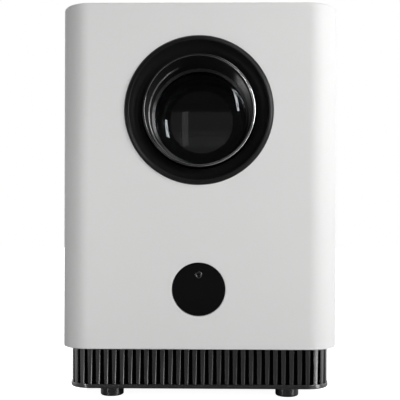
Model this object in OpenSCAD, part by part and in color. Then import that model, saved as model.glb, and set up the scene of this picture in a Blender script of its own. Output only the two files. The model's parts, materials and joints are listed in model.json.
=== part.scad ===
// Upright mini projector: a white sleeve on a ribbed base, with the lens high in the front face.
// Millimetres, +Z up, the front faces -Y, the origin is under the middle on the surface it stands on.
// Depths named _t are measured from the front face of the sleeve into the case.

/* [Case] */
// Outer width of the sleeve
case_w = 120; // [114:1:140]
// Outer depth of the sleeve
case_d = 120; // [114:1:140]
// Height of the sleeve alone
case_h = 148; // [142:1:170]
// Plan radius of the upright corners
case_corner_r = 13; // [11:0.5:16]
// Wall thickness of the sleeve
case_wall = 2.4; // [2:0.1:2.8]
// Rounding of the upper outer edge
top_edge_r = 1; // [0.5:0.1:1.6]
// Rounding of the lower outer edge
bottom_edge_r = 0.6; // [0.3:0.1:1]
// Thickness of the top cover
cover_t = 2; // [1.5:0.1:3]
// Depth of the top cover below the rim of the sleeve
cover_drop = 0.7; // [0.3:0.1:1.5]
// Width and height of the ledge that carries the top cover
cover_ledge = 2.2; // [1.5:0.1:3]
// Margin of sleeve left beside the rear opening
rear_margin_x = 16; // [15:0.5:18]
// Margin of sleeve left below the rear opening
rear_margin_low = 8; // [7:0.5:10]
// Margin of sleeve left above the rear opening
rear_margin_high = 14; // [10:0.5:18]

/* [Base] */
// Height of the ribbed base
base_h = 17.5; // [15:0.5:22]
// Distance that the base is set in from the sleeve
base_inset = 3.2; // [2.8:0.1:4.2]
// Wall thickness of the base at a rib
base_wall = 3.4; // [3:0.1:4]
// Height of the smooth lip under the ribs
base_lip_h = 1.9; // [1.2:0.1:3]
// Distance that the lip stands out from the ribs
base_lip_proud = 0.4; // [0.2:0.1:0.6]
// Pitch of the upright ribs
rib_pitch = 3.44; // [2.8:0.02:4.6]
// Width of the groove between two ribs
rib_groove_w = 1.65; // [1:0.05:2]
// Depth of the groove between two ribs
rib_groove_d = 2; // [1.2:0.1:2.4]
// Width of the groove at its floor
rib_floor_w = 0.5; // [0.3:0.05:0.9]
// Thickness of the base plate
plate_t = 2.5; // [2.2:0.1:3.5]
// Radius of a foot
foot_r = 5.1; // [4:0.1:6]
// Height of the base plate above the ground
foot_h = 4.5; // [3:0.1:7]
// Rounding of the lower edge of a foot
foot_edge_r = 0.8; // [0.4:0.1:1.2]
// Bore radius of the tripod thread
tripod_bore_r = 2.6; // [2.4:0.05:3]
// Length of the tripod thread
tripod_bore_len = 6; // [5:0.1:6.5]

/* [Lens] */
// Distance from the top of the sleeve down to the lens axis
lens_drop = 46; // [45:0.5:54]
// Width of the lens bezel from the barrel to its outer edge
bezel_w = 7.7; // [6.5:0.1:10]
// Distance that the bezel stands out from the front face
bezel_proud = 1.2; // [0.8:0.1:1.8]
// Section radius of the bezel rim
bezel_rim_r = 2.4; // [2:0.1:3]
// Section radius of the bezel dish
bezel_dish_r = 8; // [6:0.5:14]
// Depth of the dish behind the front face
bezel_dish_depth = 3.5; // [2.5:0.1:4.5]
// Outer radius of the lens barrel
barrel_r = 24.2; // [23:0.1:25.5]
// Length of the lens barrel
barrel_len = 42; // [41:0.5:48]
// Distance that the barrel rim stands in front of the front face
barrel_proud = 0.7; // [0.2:0.1:1]
// Depth of the hood from the barrel rim to the retaining ring
hood_depth = 17.9; // [14:0.1:19]
// Number of glare steps in the hood
hood_steps = 14; // [8:1:20]
// Wall of the barrel at its rim
hood_rim_wall = 1.2; // [0.8:0.1:1.6]
// Radial width of the retaining ring
ring_w = 1.3; // [1:0.1:2.4]
// Radius of the front surface of the front lens
front_curve_r = 70; // [55:1:120]
// Focus travel out of the case
focus_out = 4; // [2:0.1:5]
// Focus travel into the case
focus_in = 2; // [1:0.1:3]

/* [Sensor window] */
// Radius of the sensor window
window_r = 11.2; // [9:0.1:13]
// Height of the window centre above the lower edge of the sleeve
window_rise = 25.6; // [22:0.1:34]
// Depth of the window face behind the front face
window_recess = 0.35; // [0.1:0.05:0.8]

/* [Light engine] */
// Wall thickness of the engine case
eng_wall = 2; // [1.6:0.1:2.6]
// Gap between the sleeve wall and the side of the engine case
eng_side_gap = 7.6; // [7:0.1:10]
// Clear height between the plates of the optical stack
plate_gap = 3; // [2:0.1:3.6]
// Thickness of the fold mirror
mirror_t = 1.5; // [1:0.1:2]
// Half side of the light source
led_half = 6; // [4:0.5:8]
// Radius of the condenser lens
condenser_r = 15; // [12:0.5:17]
// Number of heat sink fins
fin_count = 15; // [9:1:19]
// Thickness of a heat sink fin
fin_t = 1.2; // [0.8:0.1:1.6]
// Height of the heat sink fins
fin_h = 23.5; // [18:0.5:26]

/* [Cooling and electronics] */
// Side of the square fan
fan_size = 50; // [40:1:54]
// Depth of the fan
fan_depth = 11; // [10:0.5:12]
// Number of fan blades
blade_count = 7; // [5:1:9]
// Pitch of the fan blades in degrees
blade_pitch = 36; // [25:1:45]
// Height of the sockets on the main board
socket_h = 10; // [9:0.5:12]
// Radius of the power button
button_r = 4; // [3:0.1:5]
// Travel of the power button
button_travel = 0.8; // [0.4:0.1:1]
// Bore radius of the audio jack
audio_bore_r = 1.8; // [1.7:0.05:1.9]
// Outer radius of the speaker
speaker_r = 17; // [13:0.5:18]

/* [Fits] */
// Radial clearance of a running fit
run_fit = 0.05; // [0.02:0.01:0.08]
// Radial clearance of the sliding barrel
slide_fit = 0.1; // [0.05:0.01:0.1]
// Clearance round a piece set in an opening
set_fit = 0.25; // [0.15:0.05:0.35]
// Clearance of a plate in its slot
slot_fit = 0.1; // [0.05:0.01:0.2]

/* [Hidden] */
$fn = 64;
// Facets of the large circles that shape the lens surfaces
fine = 480;
// Overrun of a cutting body past the face that it opens
cut = 0.5;
// Amount by which joined features run into each other
bite = 0.6;

// Case
front_y = -(case_d - bezel_proud) / 2;
mid_y = front_y + case_d / 2;
sleeve_z = foot_h + base_h;
top_z = sleeve_z + case_h;
inner_corner_r = case_corner_r - case_wall;
return_h = 2.4;
cover_z = top_z - cover_drop - cover_t;
cover_lip_h = 3;
cover_lip_t = 1.4;
panel_in_t = case_d - case_wall;
panel_t = 1.6;
panel_flange = 2.2;
panel_corner_r = 6;
rear_open_w = case_w - 2 * rear_margin_x;
rear_open_z = sleeve_z + rear_margin_low;
rear_open_top = top_z - rear_margin_high;
rear_open_h = rear_open_top - rear_open_z;
rear_mid_z = (rear_open_z + rear_open_top) / 2;

// Corner posts and their screws
post_x = case_w / 2 - case_corner_r;
post_y = case_d / 2 - case_corner_r;
post_places = [for (sx = [-1, 1], sy = [-1, 1]) [sx * post_x, mid_y + sy * post_y]];
post_gap = 0.6;
post_top = sleeve_z + return_h + post_gap;
boss_r = 4;
boss_h = 12;
boss_floor = 2;
post_turns = [225, 135, 315, 45];
screw_r = 1.4;
screw_fit = 0.15;
screw_head_r = 2.8;
screw_head_h = 1.4;
small_screw_r = 0.9;
small_head_r = 1.9;
small_head_h = 0.7;
small_screw_grip = 3;
small_hole_spare = 1;
small_hole = small_screw_grip + small_hole_spare;
case_screw_grip = 8;
cross_reach = 0.6;
cross_w = 0.24;
cross_d = 0.5;

// Base
base_w = case_w - 2 * base_inset;
base_d = case_d - 2 * base_inset;
base_r = case_corner_r - base_inset;
base_in_r = base_r - base_wall;
post_r = base_in_r + bite;
plate_top = foot_h + plate_t;
plate_ledge_w = 2.5;
plate_ledge_h = 2;
foot_recess = 0.8;
foot_screw_gap = 0.3;
foot_x = post_x - foot_r - screw_head_r - foot_screw_gap;
foot_y = post_y;
tripod_wall = 1.9;
tripod_r = tripod_bore_r + tripod_wall;
tripod_floor = 1;
tripod_h = tripod_bore_len + tripod_floor;
tripod_boss_wall = 3;
tripod_boss_r = tripod_r + tripod_boss_wall;
tripod_groove_z = tripod_h * 0.4;
tripod_groove_h = tripod_h * 0.2;

// Lens and focus drive
lens_z = top_z - lens_drop;
bezel_r = barrel_r + bezel_w;
bezel_cover = 1.7;
lens_hole_r = bezel_r - bezel_cover;
bezel_gap = 0.6;
bezel_in_r = barrel_r + bezel_gap;
bezel_collar = 3.6;
rim_c_t = bezel_rim_r - bezel_proud;
rim_c_r = bezel_r - sqrt(bezel_rim_r * bezel_rim_r - rim_c_t * rim_c_t);
dish_mid_r = (rim_c_r + bezel_in_r) / 2;
dish_mid_t = (bezel_dish_depth - bezel_proud) / 2;
dish_run = rim_c_r - bezel_in_r;
dish_rise = bezel_dish_depth + bezel_proud;
dish_chord = sqrt(dish_run * dish_run + dish_rise * dish_rise);
dish_off = sqrt(bezel_dish_r * bezel_dish_r - dish_chord * dish_chord / 4);
dish_c_r = dish_mid_r - dish_off * dish_rise / dish_chord;
dish_c_t = dish_mid_t - dish_off * dish_run / dish_chord;
barrel_t0 = -barrel_proud;
barrel_t1 = barrel_t0 + barrel_len;
bore_wall = 2.2;
bore_r = barrel_r - bore_wall;
glass_r = bore_r - slot_fit;
clear_r = bore_r - ring_w;
ring_t = barrel_t0 + hood_depth;
ring_h = 2.6;
front_edge_t = ring_t + ring_h;
function sag(curve, r) = curve - sqrt(curve * curve - r * r);
front_apex_t = front_edge_t - sag(front_curve_r, clear_r);
front_edge = 3.8;
front_back_t = front_edge_t + front_edge;
spacer_h = 3;
middle_t = front_back_t + spacer_h;
middle_edge = 5.4;
middle_curve_r = 63;
rear_gap = 4.2;
rear_t = middle_t + middle_edge + rear_gap;
rear_curve_r = 70;
rear_edge = 3.5;
rear_back_t = rear_t + rear_edge;
shoulder_w = 1;
mount_in_r = barrel_r + slide_fit;
mount_wall = 2.7;
mount_out_r = mount_in_r + mount_wall;
mount_front = 14;
engine_clear = 1.2;
eng_t0 = barrel_t1 + focus_in + engine_clear;
flange_t = 2.5;
flange_w = 4.5;
flange_r = mount_out_r + flange_w;
flange_screw_r = mount_out_r + flange_w / 2;
flange_turns = [45, 135, 225, 315];
lug_half = 4;
lug_len = 7;
lug_back = 12.8;
lug_t = barrel_t1 - lug_back;
lug_proud = 2.5;
lug_x = mount_out_r + lug_proud;
lug_root = 1;
slot_side = 0.5;
nut_seat = 4;
screw_x = lug_x + nut_seat;
lead_r = 1.4;
nut_len = 8;
nut_half = 3.6;
nut_t = lug_t + (lug_len - nut_len) / 2;
ear_t = 1;
ear_gap = 1;
ear_front_gap = 6;
ear_front_t = nut_t - focus_out - ear_front_gap;
ear_rear_t = nut_t + nut_len + focus_in + ear_gap;
ear_half = 5;
ear_side = 2;
motor_r = 5.2;
motor_len = 8;
motor_cap_r = 2.1;
motor_cap_h = 0.8;
strap_gap = 0.4;
strap_x = screw_x + motor_r + strap_gap;
foot_len = 6.5;

// Light engine
board_t = 1.6;
board_back_t = panel_in_t - socket_h;
board_front_t = board_back_t - board_t;
eng_gap = 4;
eng_t1 = min(board_front_t, panel_in_t - fan_depth) - eng_gap;
eng_half = case_w / 2 - case_wall - eng_side_gap;
col_t0 = eng_t0 + eng_wall;
col_t1 = eng_t1 - eng_wall;
col_mid_t = (col_t0 + col_t1) / 2;
col_half_x = eng_half - eng_wall;
col_half_t = (col_t1 - col_t0) / 2;
fold_sum = col_mid_t + lens_z;
fold_mid_t = (eng_t0 + eng_t1) / 2;
fold_turn = 45;
fold_len = (eng_t1 - eng_t0) / cos(fold_turn);
mirror_margin = 1;
mirror_w = 2 * (eng_half - mirror_margin);
mirror_l = fold_len - 2 * mirror_margin;
mirror_lip = 1.6;
mirror_grip = 5;
ear_w = 5;
ear_l = 10;
lug_h = 8;
stack_ts = [2, 1.1, 3, 2];
stack_rib = 2.5;
mirror_clear = 2;
function sum_to(list, n) = n <= 0 ? 0 : list[n - 1] + sum_to(list, n - 1);
stack_n = len(stack_ts);
stack_h = eng_wall + (stack_n + 1) * plate_gap + sum_to(stack_ts, stack_n);
eng_z = lens_z - col_half_t - mirror_clear - stack_h;
function stack_z(i) = eng_z + eng_wall + (i + 1) * plate_gap + sum_to(stack_ts, i);
lcd_index = 2;
flex_half = 15;
flex_t = 0.3;
flex_z = stack_z(lcd_index) + stack_ts[lcd_index] / 2;
flex_slot = 0.6;
flex_tail = 6;
light_margin = 2;
light_hole_r = clear_r + light_margin;

// Lamp and heat sink
fin_gap = 1;
fin_z = foot_h + tripod_h + fin_gap;
spreader_t = 4;
spreader_z = fin_z + fin_h;
led_z = spreader_z + spreader_t;
sink_side_gap = 6;
sink_half_x = col_half_x - sink_side_gap;
sink_half_t = 22;
sink_post_r = 2.6;
sink_post_in = 0.4;
sink_post_x = sink_half_x - sink_post_r - sink_post_in;
sink_post_t = sink_half_t - sink_post_r - sink_post_in;
fin_span = 2 * (sink_post_x - sink_post_r - fin_gap);
led_board_t = 1.6;
led_top = led_z + led_board_t;
led_h = 1.2;
cup_wall = 2;
cup_out_r = condenser_r + slot_fit + cup_wall;
cup_seat = 4;
cup_h = 7;
cup_step = 1;
cup_gap = 1.5;
cone_low = 2 * (cup_out_r + cup_gap);
cone_wall = 1.2;
led_board_edge = 2;
led_board_w = cone_low + 2 * (cone_wall + led_board_edge);
condenser_edge = 1.5;
condenser_flat = 3;
condenser_curve_r = condenser_r + condenser_flat;

// Fan, board and sockets
fan_z = rear_open_z + panel_flange + set_fit + fan_size / 2;
fan_t = panel_in_t - fan_depth;
fan_wall = 1.2;
fan_bore_r = fan_size / 2 - fan_wall;
fan_tip_gap = 0.7;
fan_tip_r = fan_bore_r - fan_tip_gap;
fan_hub_r = fan_size * 0.22;
fan_corner_r = 3;
fan_plate = 1.5;
fan_pin_r = 1.5;
fan_pin_t = 3;
fan_hole_in = 4;
fan_hole = fan_size / 2 - fan_hole_in;
fan_head_r = 2.4;
fan_grip = 9;
strut_w = 3;
hub_t = 0.8;
hub_face = 1.5;
hub_wall = 2;
hub_core_r = 3;
hub_gap = 0.6;
pin_floor = 0.4;
blade_t = 1.1;
blade_root = 1.2;
blade_front = 0.6;
blade_mid = fan_depth * 0.42;
blade_curve_r = fan_size * 0.24;
blade_half = fan_size * 0.1;
slit_w = 2.2;
slit_pitch = 4;
slit_edge = 1.4;
board_margin = 4;
board_half_x = rear_open_w / 2 - board_margin;
board_fan_gap = 0.6;
board_z = fan_z + fan_size / 2 + board_fan_gap;
board_top = rear_open_top - board_margin;
board_corner_r = 2;
standoff_r = 3;
standoff_in = 4;
standoff_places = [for (sx = [-1, 1], z = [board_z + standoff_in, board_top - standoff_in])
  [sx * (board_half_x - standoff_in), z]];
socket_nose = 1;
port_rise = 20;
port_z = board_z + port_rise;
port_edge = 6;
usb_rise = 4.6;
hdmi_w = 15;
hdmi_h = 6;
hdmi_shell = 0.5;
hdmi_corner = 1.7;
hdmi_low = 2.3;
tongue_half = 5;
tongue_t = 1.4;
usb_w = 13.2;
usb_h = 5.8;
usb_shell = 0.4;
usb_tongue_rise = 0.2;
jack_r = 3.4;
jack_body = 0.6;
jack_face = 1;
dc_r = 4.3;
dc_bore_r = 3.2;
dc_pin_r = 1;
dc_pin_back = 1;
jack_depth = 9;
dc_half = dc_r + jack_body;
audio_half = jack_r + jack_body;
port_gap = (2 * (board_half_x - port_edge - dc_half - audio_half) - hdmi_w - usb_w) / 3;
dc_x = port_edge + dc_half - board_half_x;
audio_x = dc_x + dc_half + port_gap + audio_half;
hdmi_x = audio_x + audio_half + port_gap + hdmi_w / 2;
usb_x = hdmi_x + hdmi_w / 2 + port_gap + usb_w / 2;
button_drop = 13;
button_z = board_top - button_drop;
button_rim = 1;
button_proud = 0.6;
button_flange = 1;
button_stem_r = 1.5;
panel_out_t = panel_in_t + panel_t;
button_gap = 0.2;
switch_h = 4.4;
switch_half = 3;
plunger_r = 1.7;
plunger_h = 1;
chip_x = board_half_x * 0.4;
chip_half = 8;
chip_h = 5;
chip_base = 2;
chip_cuts = 5;
chip_cut_w = 1.4;
coil_x = -board_half_x * 0.5;
coil_half = 4;
coil_h = 4;
coil_pitch = 10;
cap_x = -board_half_x * 0.15;
cap_r = 2.5;
cap_h = 6;
cap_pitch = 7;

// Sensors and speaker
window_z = sleeve_z + window_rise;
window_hole_r = window_r + set_fit;
window_flange = 1.6;
window_flange_t = 1.2;
sensor_t = 9;
sensor_board_t = 1.2;
sensor_post_r = 2.2;
sensor_post_gap = 0.4;
sensor_post_x = window_hole_r + window_flange + sensor_post_r + sensor_post_gap;
sensor_half_x = sensor_post_x + sensor_post_r;
sensor_edge = 1;
sensor_half_z = window_r + sensor_edge;
camera_rise = 5.9;
camera_r = 3.4;
camera_half = 4.4;
camera_gap = 0.6;
camera_nose = 2;
camera_pupil_r = 1.9;
camera_pupil_d = 1;
ir_drop = 5;
ir_r = 2.2;
ir_half_x = 3;
ir_half_z = 3.4;
ir_depth = 2.4;
speaker_t = base_inset + base_wall + plate_ledge_w + set_fit + speaker_r;
speaker_rim = 2;
speaker_h = 13;
magnet_r = speaker_r * 0.52;
magnet_h = 6;
magnet_bore = 1;
basket_h = 2;
basket_t = 3;
coil_r = magnet_r * 0.5;
cone_t = 0.8;
cone_gap = 2.4;
cone_top = speaker_h - magnet_h - cone_gap;
cone_edge = 0.2;
grille_hole_r = 1.1;
grille_step = 4;
slot_w = 2.2;
slot_pitch = 4.4;
slot_gap = 5;
slot_clear = tripod_boss_r + slot_gap;
slot_end = 5;
slot_post_gap = 3 * sink_post_r;

// A box given by its limits, with depths from the front face
module block(x, t, z) {
  translate([x[0], front_y + t[0], z[0]])
    cube([x[1] - x[0], t[1] - t[0], z[1] - z[0]]);
}

// Places a shape on a line that runs into the case, local z being the depth
module into_case(x, t, z) {
  translate([x, front_y + t, z]) rotate([-90, 0, 0]) children();
}

// Turns a section drawn as (radius, depth) about the lens axis
module about_lens() {
  into_case(0, 0, lens_z) rotate_extrude() children();
}

// Extrudes an outline drawn as (depth, height) across the width
module across(half) {
  translate([0, front_y, 0]) rotate([90, 0, 90])
    linear_extrude(height = 2 * half, center = true) children();
}

// Rectangle with round corners
module rounded_rect(w, h, r) {
  square([w - 2 * r, h], center = true);
  square([w, h - 2 * r], center = true);
  for (sx = [-1, 1], sy = [-1, 1])
    translate([sx * (w / 2 - r), sy * (h / 2 - r)]) circle(r);
}

// Slot with round ends, its length along y
module round_slot(w, len) {
  square([w, len - w], center = true);
  for (s = [-1, 1]) translate([0, s * (len - w) / 2]) circle(w / 2);
}

// Carries a wall section round a rounded rectangle; x = 0 of the section is the outer face
module sweep_round(w, d, r) {
  for (side = [0 : 3]) {
    span = side % 2 == 0 ? w : d;
    run = side % 2 == 0 ? d : w;
    rotate([0, 0, 90 * side]) {
      translate([span / 2, 0, 0]) rotate([90, 0, 0])
        linear_extrude(height = run - 2 * r, center = true) children();
      translate([span / 2 - r, run / 2 - r, 0])
        rotate_extrude(angle = 90) translate([r, 0]) children();
    }
  }
}

// Section of a wall with rounded outer edges at its foot and head
module edged_wall(t, z0, z1, r0, r1) {
  translate([-t, z0 + r0]) square([t, z1 - z0 - r0 - r1]);
  translate([-t, z0]) square([t - max(r0, r1), z1 - z0]);
  translate([-t, z0]) square([t - r0, r0 + bite]);
  translate([-t, z1 - r1 - bite]) square([t - r1, r1 + bite]);
  translate([-r0, z0 + r0]) circle(r0);
  translate([-r1, z1 - r1]) circle(r1);
}

// Pan head screw with a cross recess, its head under z = 0 and its shank above
module pan_screw(head_r, head_h, shank_r, len) {
  difference() {
    union() {
      translate([0, 0, -head_h]) cylinder(r = head_r, h = head_h);
      translate([0, 0, -bite]) cylinder(r = shank_r, h = len + bite);
    }
    for (turn = [0, 90]) rotate([0, 0, turn])
      translate([-head_r * cross_reach, -head_r * cross_w / 2, -head_h - cut])
        cube([2 * head_r * cross_reach, head_r * cross_w, head_h * cross_d + cut]);
  }
}

// Outside

module outer_sleeve() color("whitesmoke") difference() {
  union() {
    translate([0, mid_y, 0]) sweep_round(case_w, case_d, case_corner_r) {
      edged_wall(case_wall, sleeve_z, top_z, bottom_edge_r, top_edge_r);
      translate([-case_wall - cover_ledge, cover_z - cover_ledge])
        square([cover_ledge + bite, cover_ledge]);
      translate([-base_inset - base_lip_proud + set_fit, sleeve_z])
        square([base_inset + base_lip_proud - set_fit - case_wall + bite, return_h]);
    }
    for (i = [0 : 3]) translate([post_places[i][0], post_places[i][1], post_top]) {
      cylinder(r = boss_r, h = boss_h);
      rotate([0, 0, post_turns[i]])
        translate([boss_r - bite, -boss_r / 4, 0])
          cube([inner_corner_r - boss_r + 2 * bite, boss_r / 2, boss_h]);
    }
    for (s = [-1, 1]) into_case(s * sensor_post_x, case_wall - bite, window_z)
      cylinder(r = sensor_post_r, h = sensor_t - case_wall + bite);
  }
  into_case(0, -cut, lens_z) cylinder(r = lens_hole_r, h = case_wall + 2 * cut);
  into_case(0, -cut, window_z) cylinder(r = window_hole_r, h = case_wall + 2 * cut);
  into_case(0, panel_in_t - cut, rear_mid_z)
    linear_extrude(height = case_wall + 2 * cut)
      rounded_rect(rear_open_w, rear_open_h, panel_corner_r);
  for (p = post_places) translate([p[0], p[1], post_top - cut])
    cylinder(r = screw_r + run_fit, h = boss_h - boss_floor + cut);
  for (s = [-1, 1]) into_case(s * sensor_post_x, case_wall + cut, window_z)
    cylinder(r = small_screw_r + run_fit, h = sensor_t);
}

module top_cover() color("whitesmoke") {
  gap = case_wall + set_fit;
  lip_in = case_wall + cover_ledge + set_fit;
  translate([0, mid_y, cover_z]) linear_extrude(height = cover_t)
    rounded_rect(case_w - 2 * gap, case_d - 2 * gap, case_corner_r - gap);
  translate([0, mid_y, 0])
    sweep_round(case_w - 2 * lip_in, case_d - 2 * lip_in, case_corner_r - lip_in)
      translate([-cover_lip_t, cover_z - cover_lip_h]) square([cover_lip_t, cover_lip_h + bite]);
}

// Outline of the rear panel with its air slits and socket cut-outs
module panel_outline() {
  difference() {
    translate([0, -rear_mid_z])
      rounded_rect(rear_open_w - 2 * set_fit, rear_open_h - 2 * set_fit, panel_corner_r - set_fit);
    slit_reach = fan_bore_r - slit_edge;
    slit_n = floor(slit_reach / slit_pitch);
    for (i = [-slit_n : slit_n]) {
      reach = sqrt(slit_reach * slit_reach - i * i * slit_pitch * slit_pitch);
      if (reach > slit_w) translate([i * slit_pitch, -fan_z]) round_slot(slit_w, 2 * reach);
    }
    for (sx = [-1, 1], sz = [-1, 1])
      translate([sx * fan_hole, -fan_z + sz * fan_hole]) circle(screw_r + run_fit);
    translate([dc_x, -port_z]) circle(dc_r + set_fit);
    translate([audio_x, -port_z]) circle(jack_r + set_fit);
    translate([hdmi_x, -port_z]) square([hdmi_w + 2 * set_fit, hdmi_h + 2 * set_fit], center = true);
    for (s = [-1, 1]) translate([usb_x, -port_z + s * usb_rise])
      square([usb_w + 2 * set_fit, usb_h + 2 * set_fit], center = true);
    translate([0, -button_z]) circle(button_r + slide_fit);
  }
}

module rear_panel() color("dimgray") {
  into_case(0, panel_in_t, 0) linear_extrude(height = panel_t) panel_outline();
  into_case(0, panel_in_t - panel_t, rear_mid_z) linear_extrude(height = panel_t)
    difference() {
      rounded_rect(rear_open_w + 2 * panel_flange, rear_open_h + 2 * panel_flange,
        panel_corner_r + panel_flange);
      rounded_rect(rear_open_w - 2 * panel_flange, rear_open_h - 2 * panel_flange,
        panel_corner_r - panel_flange);
    }
  for (p = standoff_places) into_case(p[0], board_back_t, p[1]) difference() {
    cylinder(r = standoff_r, h = socket_h + bite);
    translate([0, 0, -cut]) cylinder(r = small_screw_r + run_fit, h = small_hole + cut);
  }
}

// Plan of the ribbed wall: a rounded ring with grooves across its outer face
module rib_ring() {
  rib_w = base_w - 2 * base_lip_proud;
  rib_d = base_d - 2 * base_lip_proud;
  rib_r = base_r - base_lip_proud;
  corner_n = round(rib_r * PI / 2 / rib_pitch);
  difference() {
    rounded_rect(rib_w, rib_d, rib_r);
    rounded_rect(base_w - 2 * base_wall, base_d - 2 * base_wall, base_in_r);
    for (side = [0 : 3]) {
      span = side % 2 == 0 ? rib_w : rib_d;
      run = (side % 2 == 0 ? rib_d : rib_w) - 2 * rib_r;
      n = round(run / rib_pitch);
      rotate(90 * side) {
        for (i = [0 : n - 1]) translate([span / 2, (i + 0.5 - n / 2) * run / n])
          groove();
        translate([span / 2 - rib_r, run / 2])
          for (i = [0 : corner_n - 1]) rotate((i + 0.5) * 90 / corner_n) translate([rib_r, 0]) groove();
      }
    }
  }
}

// Plan of one groove, which narrows from its mouth at x = 0 to its floor
module groove() {
  half = rib_floor_w / 2;
  flare = (rib_groove_w - rib_floor_w) / 2 / rib_groove_d;
  mouth = rib_groove_w / 2 + flare * cut;
  polygon([[cut, -mouth], [cut, mouth], [-rib_groove_d, half], [-rib_groove_d, -half]]);
}

module base_skirt() color("#1c1c1e") difference() {
  union() {
    translate([0, mid_y, 0]) sweep_round(base_w, base_d, base_r) {
      edged_wall(base_wall, foot_h, foot_h + base_lip_h, bottom_edge_r, base_lip_proud / 2);
      translate([-base_wall - plate_ledge_w, plate_top])
        square([plate_ledge_w + bite, plate_ledge_h]);
      translate([-base_wall, sleeve_z - bite])
        square([base_wall - base_lip_proud, return_h + bite]);
    }
    translate([0, mid_y, foot_h + base_lip_h - bite])
      linear_extrude(height = base_h - base_lip_h + bite) rib_ring();
    for (p = post_places) translate([p[0], p[1], plate_top])
      cylinder(r = post_r, h = post_top - plate_top);
  }
  for (p = post_places) translate([p[0], p[1], plate_top - cut])
    cylinder(r = screw_r + screw_fit, h = post_top - plate_top + 2 * cut);
}

// Plan of the base plate with its air slots, speaker holes and screw holes
module plate_outline() {
  plate_w = base_w - 2 * (base_wall + set_fit);
  plate_d = base_d - 2 * (base_wall + set_fit);
  slot_n = floor((sink_half_x - slot_post_gap - slot_clear) / slot_pitch);
  ring_n = floor((speaker_r - speaker_rim - grille_hole_r) / grille_step);
  difference() {
    rounded_rect(plate_w, plate_d, base_in_r - set_fit);
    for (s = [-1, 1], i = [0 : slot_n])
      translate([s * (slot_clear + i * slot_pitch), col_mid_t - case_d / 2])
        round_slot(slot_w, 2 * (sink_half_t - slot_end));
    translate([0, speaker_t - case_d / 2]) for (k = [0 : ring_n], j = [0 : max(0, 6 * k - 1)])
      rotate(k == 0 ? 0 : j * 60 / k) translate([k * grille_step, 0]) circle(grille_hole_r);
    circle(tripod_r + run_fit);
    for (p = post_places) translate([p[0], p[1] - mid_y]) circle(screw_r + screw_fit);
  }
}

module base_plate() color("#242426") difference() {
  union() {
    translate([0, mid_y, foot_h]) linear_extrude(height = plate_t) plate_outline();
    translate([0, mid_y, plate_top - bite]) difference() {
      cylinder(r = tripod_boss_r, h = tripod_h - plate_t + bite);
      translate([0, 0, -cut]) cylinder(r = tripod_r + run_fit, h = tripod_h + 2 * cut);
    }
    for (p = sink_places()) translate([p[0], p[1], plate_top - bite])
      cylinder(r = sink_post_r, h = spreader_z - plate_top + bite);
  }
  for (p = foot_places()) translate([p[0], p[1], foot_h - cut])
    cylinder(r = foot_r + set_fit, h = foot_recess + cut);
  for (p = post_places) translate([p[0], p[1], foot_h - cut])
    cylinder(r = screw_head_r + set_fit / 2, h = screw_head_h + cut);
  for (p = sink_places()) translate([p[0], p[1], spreader_z - small_hole])
    cylinder(r = small_screw_r + run_fit, h = small_hole + cut);
}

function foot_places() = [for (sy = [-1, 1], sx = [-1, 1]) [sx * foot_x, mid_y + sy * foot_y]];
function sink_places() = [for (sx = [-1, 1], st = [-1, 1])
  [sx * sink_post_x, front_y + col_mid_t + st * sink_post_t]];

module tripod_insert() color("goldenrod") translate([0, mid_y, foot_h]) rotate_extrude() difference() {
  translate([tripod_bore_r - bite, 0]) square([tripod_r - tripod_bore_r + bite, tripod_h]);
  translate([0, -cut]) square([tripod_bore_r, tripod_bore_len + cut]);
  translate([tripod_r - bite, tripod_groove_z]) square([bite + cut, tripod_groove_h]);
}

// Rubber foot with a rounded lower edge
module foot(place) translate([place[0], place[1], 0]) rotate_extrude() {
  square([foot_r - foot_edge_r, foot_h + foot_recess]);
  translate([0, foot_edge_r]) square([foot_r, foot_h + foot_recess - foot_edge_r]);
  translate([foot_r - foot_edge_r, foot_edge_r]) circle(foot_edge_r);
}

module front_left_foot() color("#161617") foot(foot_places()[0]);

module front_right_foot() color("#161617") foot(foot_places()[1]);

module rear_left_foot() color("#161617") foot(foot_places()[2]);

module rear_right_foot() color("#161617") foot(foot_places()[3]);

module case_screws() color("silver") for (p = post_places)
  translate([p[0], p[1], foot_h + screw_head_h])
    pan_screw(screw_head_r, screw_head_h, screw_r, post_top + case_screw_grip - foot_h - screw_head_h);

// Lens

module lens_bezel() color("#141416") about_lens() difference() {
  union() {
    intersection() {
      translate([rim_c_r, rim_c_t]) circle(bezel_rim_r);
      translate([rim_c_r, -bezel_proud - cut]) square([bezel_rim_r + cut, bezel_proud + cut]);
    }
    translate([bezel_in_r, -bezel_proud]) square([rim_c_r - bezel_in_r, bezel_proud + bite]);
    translate([bezel_in_r, 0])
      square([lens_hole_r - set_fit - bezel_in_r, case_wall + bezel_collar]);
  }
  translate([dish_c_r, dish_c_t]) circle(bezel_dish_r);
}

// Inner radius of the hood at step i
function hood_r(i) = barrel_r - hood_rim_wall - (bore_wall - hood_rim_wall) * i / hood_steps;

// Half section of the barrel: a stepped hood, the bore for the lenses and a rear shoulder
module barrel_section() {
  step = hood_depth / hood_steps;
  back_r = clear_r - shoulder_w;
  hood = [for (i = [0 : hood_steps - 1], e = [0, 1]) [hood_r(i), barrel_t0 + (i + e) * step]];
  polygon(concat(hood, [[bore_r, ring_t], [bore_r, rear_back_t], [back_r, rear_back_t], [back_r, barrel_t1],
    [barrel_r, barrel_t1], [barrel_r, barrel_t0]]));
}

module lens_barrel() color("#101012") {
  about_lens() barrel_section();
  difference() {
    block([barrel_r - lug_root, lug_x], [lug_t, lug_t + lug_len], [lens_z - lug_half, lens_z + lug_half]);
    into_case(0, lug_t - cut, lens_z) cylinder(r = barrel_r - lug_root / 2, h = lug_len + 2 * cut);
  }
}

module front_lens() color("#20242c") about_lens() intersection() {
  translate([0, front_apex_t]) square([glass_r, front_back_t - front_apex_t]);
  translate([0, front_apex_t + front_curve_r]) circle(front_curve_r, $fn = fine);
}

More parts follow.
